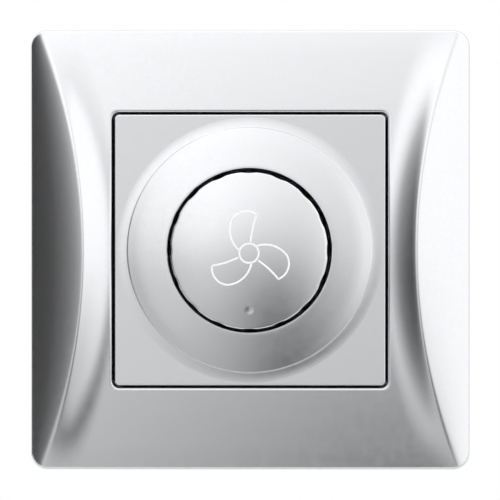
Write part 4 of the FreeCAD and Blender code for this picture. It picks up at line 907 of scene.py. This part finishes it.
@dataclass
class CentrePlate:
    """Square centre plate, one moulding, with a raised collar and a well round the knob.

    Attributes:
        half: half of the plate's width.
        crown: height of the collar at the well.
        foot: height of the back of the side walls.
        collar: radius of the foot of the collar's flank.
        skirt_shape: points of the low skirt round the collar, as shares of its run and its rise.
        skirt_end: share of the rise where the cove to the flank starts.
        crown_middle: point of the collar's inner face, as shares of its width and its fall.
        mouth_shape: points of the well's mouth, outwards and down, as shares of its edge.
        fillet_middle: point of the fillet, inwards and up, as shares of it.
    """

    half: float
    crown: float
    foot: float
    corner: float = 1.0 * MM
    edge: float = 0.14 * MM
    edge_border: float = 0.05 * MM
    draft: float = 0.1 * MM
    top: float = 9.0 * MM
    skin: float = 1.6 * MM
    skirt_wall: float = 1.5 * MM
    collar: float = 22.92 * MM
    cove: float = 0.12 * MM
    skirt_run: float = 1.8 * MM
    skirt_rise: float = 0.1 * MM
    skirt_shape: tuple[tuple[float, float], ...] = ((1.0, 0.0), (0.66, 0.15), (0.33, 0.5))
    skirt_end: float = 0.9
    flank: float = 0.22 * MM
    edge_rise: float = 2.3 * MM
    lip_round: float = 0.22 * MM
    shoulder: float = 2.25 * MM
    shoulder_fall: float = 0.28 * MM
    crown_width: float = 5.2 * MM
    crown_fall: float = 0.42 * MM
    crown_middle: tuple[float, float] = (0.5, 0.45)
    hole: float = 15.27 * MM
    hole_edge: float = 0.12 * MM
    mouth_shape: tuple[tuple[float, float], ...] = ((2.0, 0.0), (0.0, 0.3), (0.0, 2.0), (0.0, 4.0))
    collar_skin: float = 1.5 * MM
    well_wall: float = 1.3 * MM
    well_floor: float = 5.1 * MM
    floor_skin: float = 1.4 * MM
    fillet: float = 1.7 * MM
    fillet_middle: tuple[float, float] = (0.5, 0.3)
    bush_hole: float = 5.1 * MM
    flat_shares: tuple[float, ...] = (0.25, 0.5, 0.75)
    edge_steps: int = 6
    per_side: int = 96
    per_corner: int = 10

    def square(self, half: float, corner: float) -> tuple[np.ndarray, np.ndarray]:
        """Places along a rounded square, from the low end of its right side upwards.

        Args:
            half: half of the square's width.
            corner: radius of its corners.

        Returns:
            Places across and up.
        """
        straight = half - corner
        side = straight * np.tan(np.linspace(-math.pi / 4, math.pi / 4, self.per_side + 1))
        turn = np.linspace(0, math.pi / 2, self.per_corner + 2)[1:-1]
        across = np.concatenate([np.full(side.size, half), straight + corner * np.cos(turn)])
        up = np.concatenate([side, straight + corner * np.sin(turn)])
        return np.concatenate([across, -up, -across, up]), np.concatenate([up, across, -up, -across])

    def collar_profile(self) -> np.ndarray:
        """Outside of the collar, from the plate's face to the well's wall.

        Returns:
            Radius and height of each point.
        """
        crown_end = self.hole + self.crown_width
        lip = crown_end + self.shoulder
        lip_height = self.crown - self.crown_fall - self.shoulder_fall
        base = self.top + self.skirt_rise
        run, rise = self.collar - lip, lip_height - base
        length = math.hypot(run, rise)
        out, down = run / length, rise / length
        middle_width, middle_fall = self.crown_middle
        return softened([
            *((self.collar + along * self.skirt_run, self.top + above * self.skirt_rise)
              for along, above in self.skirt_shape),
            (self.collar + self.cove, self.top + self.skirt_end * self.skirt_rise),
            (self.collar, base),
            (self.collar - self.cove * out, base + self.cove * down),
            (lip + self.lip_round * out, lip_height - self.lip_round * down),
            (lip, lip_height),
            (lip - self.lip_round, lip_height + self.lip_round * self.shoulder_fall / self.shoulder),
            (crown_end, self.crown - self.crown_fall),
            (self.hole + middle_width * self.crown_width, self.crown - middle_fall * self.crown_fall),
            *((self.hole + outwards * self.hole_edge, self.crown - below * self.hole_edge)
              for outwards, below in self.mouth_shape),
        ])

    def build(self) -> bpy.types.Object:
        """Make the plate as one closed form.

        Returns:
            The plate's object.
        """
        shell = Shell()
        flat_x, flat_z = self.square(self.half, self.corner)
        turns = np.arctan2(flat_z, flat_x)

        def on_square(half: float, corner: float, height: float) -> np.ndarray:
            """Add a rounded square at a height."""
            across, up = self.square(half, corner)
            return shell.add(across, height, up)

        loops = [on_square(self.half - self.skirt_wall, self.corner, self.top - self.skin),
                 on_square(self.half - self.skirt_wall, self.corner, self.foot),
                 on_square(self.half, self.corner, self.foot)]
        for turn in np.linspace(0, math.pi / 2, self.edge_steps):
            inset = self.draft + self.edge * (1 - math.cos(turn))
            loops.append(on_square(self.half - inset, self.corner - inset,
                                   self.top - self.edge + self.edge * math.sin(turn)))
        profile = self.collar_profile()
        inset = self.draft + self.edge + self.edge_border
        loops.append(on_square(self.half - inset, self.corner - inset, self.top))
        flat_x, flat_z = self.square(self.half - inset, self.corner - inset)
        start = profile[0, 0] + self.edge_border
        for share in self.flat_shares:
            loops.append(shell.add(
                flat_x + (start * np.cos(turns) - flat_x) * share, self.top,
                flat_z + (start * np.sin(turns) - flat_z) * share))
        well = self.hole + self.well_wall
        behind = self.collar - self.flank - self.collar_skin
        inwards, above = self.fillet_middle
        loops.extend(shell.ring(turns, radius, height) for radius, height in (
            (start, self.top),
            *profile,
            (self.hole, self.well_floor + self.fillet),
            (self.hole - inwards * self.fillet, self.well_floor + above * self.fillet),
            (self.hole - self.fillet, self.well_floor),
            (self.bush_hole, self.well_floor),
            (self.bush_hole, self.well_floor - self.floor_skin),
            (well, self.well_floor - self.floor_skin),
            (well, self.crown - self.collar_skin),
            (behind, self.top + self.edge_rise - self.collar_skin),
            (behind, self.top - self.skin),
        ))
        shell.chain([*loops, loops[0]])
        return shell.build("centre_plate_moulding")

    def dress(self, piece: bpy.types.Object, silver: bpy.types.Material) -> None:
        """Lacquer the plate and put it in the node's place.

        Args:
            piece: the plate.
            silver: the lacquer.
        """
        piece.data.materials.append(silver)
        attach(piece, Body.INSERT.value)
        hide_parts("centre_plate")


@dataclass
class Knob:
    """Hollow turning knob, one moulding, with shallow flutes and a pointer dimple.

    Attributes:
        crown: height of the middle of the face.
        foot: height of the back of the side wall.
        rim_share: share of their depth that the flutes have at the rim of the face.
        fade: how far below the rim they have all of it.
        dimple_reach: distance of the dimple from the axis.
        dimple_band: half of the width of the band of closer rings across it.
        band_gaps: distance from that band to the next ring inside and outside.
        ring_counts: how many rings lie inside the band, in it and outside.
    """

    crown: float
    foot: float
    radius: float = 14.5 * MM
    dome_rise: float = 0.8 * MM
    edge: float = 0.25 * MM
    wall: float = 1.6 * MM
    skin: float = 1.8 * MM
    boss: float = 5.2 * MM
    boss_foot: float = 9.2 * MM
    bore: float = 3.04 * MM
    bore_end: float = 17.44 * MM
    foot_edge: float = 0.25 * MM
    flutes: int = 16
    flute_depth: float = 0.32 * MM
    flute_radius: float = 3.6 * MM
    flute_blend: float = 0.05 * MM
    rim_share: float = 0.5
    fade: float = 2.0 * MM
    dimple: float = 0.9 * MM
    dimple_depth: float = 0.04 * MM
    dimple_reach: float = 11.0 * MM
    dimple_band: float = 1.1 * MM
    band_gaps: tuple[float, float] = (0.1 * MM, 0.2 * MM)
    first_ring: float = 0.6 * MM
    ring_counts: tuple[int, int, int] = (16, 30, 9)
    edge_steps: int = 7
    fade_steps: int = 10
    per_flute: int = 32

    def dome_radius(self) -> float:
        """Radius of the sphere that the knob's face is part of."""
        return (self.radius ** 2 + self.dome_rise ** 2) / (2 * self.dome_rise)

    def dome(self, reach: Number) -> Number:
        """Height of the face at a distance from the axis."""
        ball = self.dome_radius()
        return self.crown - ball + np.sqrt(ball ** 2 - reach ** 2)

    def hollow(self, across: np.ndarray, up: np.ndarray) -> np.ndarray:
        """Depth of the pointer dimple at a place on the face, with a soft edge."""
        away = np.hypot(across, up + self.dimple_reach) / self.dimple
        return self.dimple_depth * np.clip(1 - away ** 2, 0, 1) ** 2

    def outline(self, turns: np.ndarray) -> np.ndarray:
        """Distance of the fluted side from the axis; the first flute is at the top.

        Args:
            turns: angles about the axis.

        Returns:
            The distance at each angle.
        """
        step = 2 * math.pi / self.flutes
        away = (turns - math.pi / 2 + step / 2) % step - step / 2
        centre = self.radius + self.flute_radius - self.flute_depth
        root = np.maximum(self.flute_radius ** 2 - (centre * np.sin(away)) ** 2, 0)
        hollow = centre * np.cos(away) - np.sqrt(root)
        hollow = np.where(root > 0, hollow, self.radius + self.flute_radius)
        return soft_least(np.full(turns.shape, self.radius), hollow, self.flute_blend)

    def face_rings(self) -> np.ndarray:
        """Rings of the face, closer together across the dimple.

        Returns:
            Their distances from the axis.
        """
        low, high = self.dimple_reach - self.dimple_band, self.dimple_reach + self.dimple_band
        inside, within, outside = self.ring_counts
        return np.concatenate([
            np.linspace(self.first_ring, low - self.band_gaps[0], inside),
            np.linspace(low, high, within),
            np.linspace(high + self.band_gaps[1], self.radius - self.edge, outside),
        ])

    def build(self) -> bpy.types.Object:
        """Make the knob as one closed form.

        Returns:
            The knob's object.
        """
        shell = Shell()
        turns = np.arange(self.flutes * self.per_flute) * 2 * math.pi / (self.flutes * self.per_flute)
        side = self.outline(turns)
        loops = []
        for reach in self.face_rings():
            sunk = self.hollow(reach * np.cos(turns), reach * np.sin(turns))
            loops.append(shell.ring(turns, reach, self.dome(reach) - sunk))
        rim = self.radius - self.edge
        shoulder = float(self.dome(rim))
        slope = rim / self.dome_radius()
        for reach, lower in edge_curve(self.edge, self.edge * slope, self.edge, self.edge_steps):
            distance = rim + reach + self.rim_share * (side - self.radius) * reach / self.edge
            loops.append(shell.ring(turns, distance, shoulder - lower))
        start = shoulder - self.edge * (1 + slope)
        for share in np.arange(1, self.fade_steps + 1) / self.fade_steps:
            depth = self.rim_share + (1 - self.rim_share) * share * share * (3 - 2 * share)
            distance = self.radius + depth * (side - self.radius)
            loops.append(shell.ring(turns, distance, start - share * self.fade))
        roof = self.crown - self.dome_rise - self.skin
        inside = self.radius - self.wall
        loops.extend(shell.ring(turns, distance, height) for distance, height in (
            (side, self.foot + self.foot_edge),
            (side - self.foot_edge, self.foot),
            (inside, self.foot),
            (inside, roof - self.foot_edge),
            (inside - self.foot_edge, roof),
            (self.boss + self.foot_edge, roof),
            (self.boss, roof - self.foot_edge),
            (self.boss, self.boss_foot),
            (self.bore, self.boss_foot),
            (self.bore, self.bore_end),
        ))
        shell.chain(loops)
        shell.fan(loops[0], int(shell.add(0.0, self.crown, 0.0)))
        shell.fan(loops[-1], int(shell.add(0.0, self.bore_end, 0.0)))
        return shell.build("knob_moulding")

    def dress(self, piece: bpy.types.Object, silver: bpy.types.Material) -> None:
        """Lacquer the knob and put it in the node's place.

        Args:
            piece: the knob.
            silver: the lacquer.
        """
        piece.data.materials.append(silver)
        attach(piece, Body.KNOB.value)
        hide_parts("knob")


@dataclass
class FanPictogram:
    """Printed pictogram on the knob's dome: a hub ring and three blades in thin lines.

    Blade corners are shares of the reach: across and up from the hub, for the blade
    that points to the right. The line's section is given as shares of half its width and
    of the ink's height.
    """

    knob: Knob
    line: float = 0.34 * MM
    ink: float = 0.045 * MM
    hub: float = 1.95 * MM
    reach: float = 7.75 * MM
    drop: float = 0.45 * MM
    root: tuple[float, float] = (0.16, 0.185)
    crest: tuple[float, float] = (0.56, 0.205)
    shoulder: tuple[float, float] = (0.925, -0.05)
    flank: tuple[float, float] = (0.945, -0.39)
    tip: tuple[float, float] = (0.69, -0.64)
    back: tuple[float, float] = (0.475, -0.405)
    heel: tuple[float, float] = (0.205, -0.19)
    section: tuple[tuple[float, float], ...] = (
        (1.0, 0.0), (1.0, 0.6), (0.8, 1.0), (-0.8, 1.0), (-1.0, 0.6), (-1.0, 0.0))
    blades: int = 3
    arc_steps: int = 40
    hub_steps: int = 96

    def arc(self, first: tuple[float, float], middle: tuple[float, float],
            last: tuple[float, float]) -> np.ndarray:
        """Arc through three places given as shares of the reach.

        Args:
            first: where it starts.
            middle: a place along it.
            last: where it ends.

        Returns:
            Points across and up.
        """
        places = [complex(*place) * self.reach for place in (first, middle, last)]
        ratio = (places[2] - places[0]) / (places[1] - places[0])
        offset = (places[1] - places[0]) * (ratio - abs(ratio) ** 2) / (2j * ratio.imag)
        centre = places[0] + offset
        start, halfway, end = (math.atan2((place - centre).imag, (place - centre).real)
                               for place in places)
        full = 2 * math.pi
        ahead = (end - start) % full
        sweep = ahead if (halfway - start) % full < ahead else ahead - full
        turns = start + np.linspace(0, sweep, self.arc_steps)
        radius = abs(offset)
        return np.stack([centre.real + radius * np.cos(turns), centre.imag + radius * np.sin(turns)], 1)

    def ribbon(self, shell: Shell, path: np.ndarray, closed: bool) -> None:
        """Add one line of ink along a path.

        Args:
            shell: form that gets it.
            path: places across and up, along the middle of the line.
            closed: whether the path returns to its start.
        """
        if closed:
            along = np.roll(path, -1, axis=0) - np.roll(path, 1, axis=0)
        else:
            along = np.gradient(path, axis=0)
        along /= np.linalg.norm(along, axis=1, keepdims=True)
        aside = np.stack([-along[:, 1], along[:, 0]], axis=1) * self.line / 2
        corners = []
        for side, lift in self.section:
            place = path + side * aside
            up = place[:, 1] - self.drop
            base = self.knob.dome(np.hypot(place[:, 0], up))
            corners.append(shell.add(place[:, 0], base + lift * self.ink, up))
        grid = np.stack(corners + corners[:1], axis=1)
        if closed:
            grid = np.concatenate([grid, grid[:1]])
        else:
            shell.faces.append(tuple(int(number) for number in grid[0, :-1]))
            shell.faces.append(tuple(int(number) for number in grid[-1, :-1]))
        shell.sheet(grid)

    def build(self) -> bpy.types.Object:
        """Make the hub ring and the three blades.

        Returns:
            The pictogram's object.
        """
        shell = Shell()
        turns = np.linspace(0, 2 * math.pi, self.hub_steps, endpoint=False)
        middle = self.hub - self.line / 2
        self.ribbon(shell, middle * np.stack([np.cos(turns), np.sin(turns)], axis=1), closed=True)
        blade = np.concatenate([
            self.arc(self.root, self.crest, self.shoulder)[:-1],
            self.arc(self.shoulder, self.flank, self.tip)[:-1],
            self.arc(self.tip, self.back, self.heel),
        ])
        centre = blade.mean(axis=0)
        along = np.gradient(blade, axis=0)
        inward = np.stack([-along[:, 1], along[:, 0]], axis=1)
        inward /= np.linalg.norm(inward, axis=1, keepdims=True)
        if np.mean(np.sum(inward * (centre - blade), axis=1)) < 0:
            inward = -inward
        path = blade + inward * self.line / 2
        path = path[np.linalg.norm(path, axis=1) > middle]
        for index in range(self.blades):
            turn = -index * 2 * math.pi / self.blades
            cosine, sine = math.cos(turn), math.sin(turn)
            self.ribbon(shell, path @ np.array([[cosine, sine], [-sine, cosine]]), closed=False)
        return shell.build("fan_pictogram")

    def dress(self, piece: bpy.types.Object, ink: bpy.types.Material) -> None:
        """Ink the pictogram and put it in the node's place.

        Args:
            piece: the pictogram.
            ink: the white print.
        """
        piece.data.materials.append(ink)
        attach(piece, Body.KNOB.value)
        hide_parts("fan_symbol")


class Insert:
    """Everything behind the cover: each node keeps its shape and gets its finish."""

    def __init__(self, nodes: dict[str, bpy.types.Object], record: dict) -> None:
        """Keep the nodes and the material slot of each.

        Args:
            nodes: the fixed frame's objects by node name.
            record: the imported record.
        """
        self.nodes = nodes
        self.slots = {part["node"]: part["material_slot"] for part in record["subparts"]}

    def dress(self, replaced: Sequence[str], materials: dict[str, bpy.types.Material]) -> None:
        """Give each node that stays its material.

        Args:
            replaced: nodes that have a mesh of their own.
            materials: material of each slot.
        """
        for name, piece in self.nodes.items():
            if name in replaced:
                continue
            piece.data.materials.clear()
            piece.data.materials.append(materials[self.slots[name]])
            LOG.info("%s: %s", name, self.slots[name])


# Studio


@dataclass
class Studio:
    """Pale floor, soft light and the camera.

    Levels are pairs of a direction's part along an axis, from -1 to 1, and the brightness there.

    Attributes:
        cloud_low: share of the floor's clouds up to which the shade holds.
        cloud_high: share of them from which the tone holds.
        brightest: highest brightness of the surroundings.
        side_levels: levels across, and side_reach the slants between which they lose their hold.
        upright_levels: levels upwards.
        dark_corner: axis, start and full depth of each ramp that bounds the dark low corner.
        panel_levels: levels upwards of the light panel on the right.
        panel_edge: where that panel starts and where it is whole.
        room_back: part towards the wall from which a mirrored direction finds plain white.
    """

    floor_level: float = -0.075
    floor_half_width: float = 0.3
    floor_front: float = -0.11
    floor_back: float = 0.16
    floor_tone: str = "#DFDFDE"
    floor_shade: str = "#DADAD9"
    floor_roughness: float = 0.85
    cloud_mm: float = 30.0
    cloud_low: float = 0.3
    cloud_high: float = 0.7
    camera_place: tuple[float, float, float] = (0.015, -1.0, 0.012)
    camera_aim: tuple[float, float, float] = (0.0, -0.008, 0.0)
    camera_range: float = 10.0
    sensor_mm: float = 36.0
    lens_mm: float = 383.0
    lamp_place: tuple[float, float, float] = (-0.3, -0.5, 1.3)
    lamp_width: float = 0.8
    lamp_watts: float = 1.5
    brightest: float = 1.5
    room_back: float = 0.1
    side_reach: tuple[float, float] = (0.2, 0.5)
    dark_corner: tuple[tuple[str, float, float], ...] = (
        ("X", -0.03, 0.04), ("Z", -0.062, -0.172), ("X", 0.17, 0.09))
    dark_corner_depth: float = 0.9
    panel_edge: tuple[float, float] = (0.14, 0.26)
    side_levels: tuple[tuple[float, float], ...] = (
        (-1.0, 0.06), (-0.8, 0.07), (-0.71, 0.11), (-0.66, 0.17), (-0.58, 0.22), (-0.51, 0.3),
        (-0.43, 0.38), (-0.38, 0.58), (-0.345, 0.84), (-0.28, 0.9), (-0.22, 1.4),
        (-0.15, 1.5), (-0.1, 1.25), (-0.05, 1.05), (0.0, 0.98), (0.08, 0.9), (0.15, 0.8), (0.21, 0.8),
        (0.27, 1.0), (1.0, 1.0))
    upright_levels: tuple[tuple[float, float], ...] = (
        (-1.0, 0.28), (-0.482, 0.3), (-0.342, 0.46), (-0.227, 0.53), (-0.192, 0.43),
        (-0.172, 0.46), (-0.157, 0.6), (-0.132, 0.76), (-0.112, 0.6), (-0.082, 0.49),
        (-0.012, 0.86), (0.058, 1.14), (0.118, 1.27), (0.198, 1.42), (1.0, 1.42))
    panel_levels: tuple[tuple[float, float], ...] = (
        (-1.0, 0.3), (-0.482, 0.5), (-0.282, 0.68), (-0.202, 0.9), (-0.152, 1.08), (-0.102, 1.2),
        (-0.072, 1.36), (-0.032, 1.45), (1.0, 1.45))

    def camera(self) -> None:
        """Put the camera where the photograph was taken from."""
        data = bpy.data.cameras.new("camera")
        data.sensor_width = self.sensor_mm
        data.lens = self.lens_mm
        data.clip_end = self.camera_range
        camera = linked("camera", data)
        place = Vector(self.camera_place)
        camera.location = place
        camera.rotation_euler = (Vector(self.camera_aim) - place).to_track_quat("-Z", "Y").to_euler()
        bpy.context.scene.camera = camera

    def floor(self) -> None:
        """Lay a plain pale floor that ends before the camera could see it."""
        mesh = bpy.data.meshes.new("floor")
        wide, level = self.floor_half_width, self.floor_level
        mesh.from_pydata([(-wide, self.floor_front, level), (wide, self.floor_front, level),
                          (wide, self.floor_back, level), (-wide, self.floor_back, level)],
                         [], [(0, 1, 2, 3)])
        material, tree, place = blank_material("pale_floor")
        cloud = add_node(tree, "ShaderNodeTexNoise", {"Vector": place, "Scale": per_metre(self.cloud_mm)})
        tones = add_node(tree, "ShaderNodeValToRGB", {"Fac": cloud["Fac"]}, stops=(
            (self.cloud_low, linear(self.floor_shade)), (self.cloud_high, linear(self.floor_tone))))
        finish_material(tree, {"Base Color": tones["Color"], "Roughness": self.floor_roughness})
        mesh.materials.append(material)
        linked("floor", mesh)

    def lamp(self) -> None:
        """Hang a square soft lamp that faces the knob."""
        data = bpy.data.lights.new("top_lamp", "AREA")
        data.shape = "SQUARE"
        data.size = self.lamp_width
        data.energy = self.lamp_watts
        lamp = linked("top_lamp", data)
        lamp.location = self.lamp_place
        lamp.rotation_euler = (-Vector(self.lamp_place)).to_track_quat("-Z", "Y").to_euler()

    def surroundings(self) -> None:
        """Surround the object with a soft room: dark on the left, light on the right and above."""
        world = bpy.data.worlds.new("studio")
        bpy.context.scene.world = world
        world.use_nodes = True
        tree = world.node_tree
        tree.nodes.clear()
        direction = add_node(tree, "ShaderNodeTexCoord")["Generated"]
        axes = add_node(tree, "ShaderNodeSeparateXYZ", {"Vector": direction})
        slant = add_node(tree, "ShaderNodeMath", {0: axes["Z"]}, operation="ABSOLUTE")
        window = add_node(tree, "ShaderNodeMapRange", {
            "Value": slant["Value"], "From Min": self.side_reach[0],
            "From Max": self.side_reach[1], "To Min": 1.0, "To Max": 0.0},
            interpolation_type="SMOOTHSTEP")
        side = add_node(tree, "ShaderNodeMix", {
            "Factor": window["Result"], "A": 1.0,
            "B": self.levels(tree, axes["X"], self.side_levels)})
        shadow: Setting = -self.dark_corner_depth
        for axis, start, end in self.dark_corner:
            ramp = add_node(tree, "ShaderNodeMapRange", {
                "Value": axes[axis], "From Min": start, "From Max": end},
                interpolation_type="SMOOTHSTEP")
            shadow = add_node(tree, "ShaderNodeMath", {0: shadow, 1: ramp["Result"]},
                              operation="MULTIPLY")["Value"]
        upright = self.levels(tree, axes["Z"], self.upright_levels)
        dimmed = add_node(tree, "ShaderNodeMath", {0: upright, 1: shadow, 2: upright},
                          operation="MULTIPLY_ADD")
        beside = add_node(tree, "ShaderNodeMapRange", {
            "Value": axes["X"], "From Min": self.panel_edge[0], "From Max": self.panel_edge[1]},
            interpolation_type="SMOOTHSTEP")
        lit = add_node(tree, "ShaderNodeMix", {
            "Factor": beside["Result"], "A": dimmed["Value"],
            "B": self.levels(tree, axes["Z"], self.panel_levels)})
        product = add_node(tree, "ShaderNodeMath", {
            0: side["Result"], 1: lit["Result"]}, operation="MULTIPLY")
        room = add_node(tree, "ShaderNodeMath", {0: product["Value"], 1: self.brightest},
                        operation="MINIMUM")
        path = add_node(tree, "ShaderNodeLightPath")
        behind = add_node(tree, "ShaderNodeMath", {0: axes["Y"], 1: self.room_back},
                          operation="GREATER_THAN")
        mirror = add_node(tree, "ShaderNodeMath", {
            0: path["Is Glossy Ray"], 1: path["Is Transmission Ray"]}, operation="MAXIMUM")
        back = add_node(tree, "ShaderNodeMath", {
            0: mirror["Value"], 1: behind["Value"]}, operation="MULTIPLY")
        white = add_node(tree, "ShaderNodeMath", {
            0: path["Is Camera Ray"], 1: back["Value"]}, operation="MAXIMUM")
        strength = add_node(tree, "ShaderNodeMix", {
            "Factor": white["Value"], "A": room["Value"], "B": 1.0})
        background = add_node(tree, "ShaderNodeBackground", {
            "Color": (1.0, 1.0, 1.0, 1.0), "Strength": strength["Result"]})
        add_node(tree, "ShaderNodeOutputWorld", {"Surface": background["Background"]})

    def levels(self, tree: Tree, place: Socket, steps: Sequence[tuple[float, float]]) -> Socket:
        """Brightness along one axis.

        Args:
            tree: the world's node tree.
            place: the direction's part along the axis, from -1 to 1.
            steps: pairs of place and brightness.

        Returns:
            The brightness.
        """
        share = add_node(tree, "ShaderNodeMapRange", {"Value": place, "From Min": -1.0, "From Max": 1.0})
        highest = max(level for _, level in steps)
        ramp = add_node(tree, "ShaderNodeValToRGB", {"Fac": share["Result"]}, stops=[
            ((spot + 1) / 2, (level / highest, level / highest, level / highest, 1.0))
            for spot, level in steps])
        return add_node(tree, "ShaderNodeMath", {0: ramp["Color"], 1: highest},
                        operation="MULTIPLY")["Value"]

    def build(self) -> None:
        """Set up the camera, the floor, the surroundings and the lamp."""
        self.camera()
        self.floor()
        self.surroundings()
        self.lamp()
        bpy.context.scene.view_settings.view_transform = "Standard"


def main() -> None:
    """Build the looks round the fixed frame."""
    logging.basicConfig(level=logging.INFO, format="%(name)s: %(message)s")
    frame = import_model()
    materials = {finish.name: finish.material() for finish in FINISHES}

    frame_low, frame_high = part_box("frame")
    plate_low, plate_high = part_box("centre_plate")
    knob_low, knob_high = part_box("knob")
    plate_gap = 0.32 * MM

    cover = CoverFrame(frame_high.x, -frame_low.y, plate_high.x + plate_gap)
    cover.dress(cover.build(), materials["silver_lacquer"])
    plate = CentrePlate(plate_high.x, -plate_low.y, -plate_high.y)
    plate.dress(plate.build(), materials["silver_lacquer"])
    knob = Knob(-knob_low.y, -knob_high.y)
    knob.dress(knob.build(), materials["silver_lacquer"])
    pictogram = FanPictogram(knob)
    pictogram.dress(pictogram.build(), materials["print_white"])
    insert = Insert(frame["nodes"], frame["record"])
    insert.dress(("frame", "centre_plate", "knob", "fan_symbol"), materials)
    Studio().build()

    bpy.context.view_layer.update()


if __name__ == "__main__":
    main()
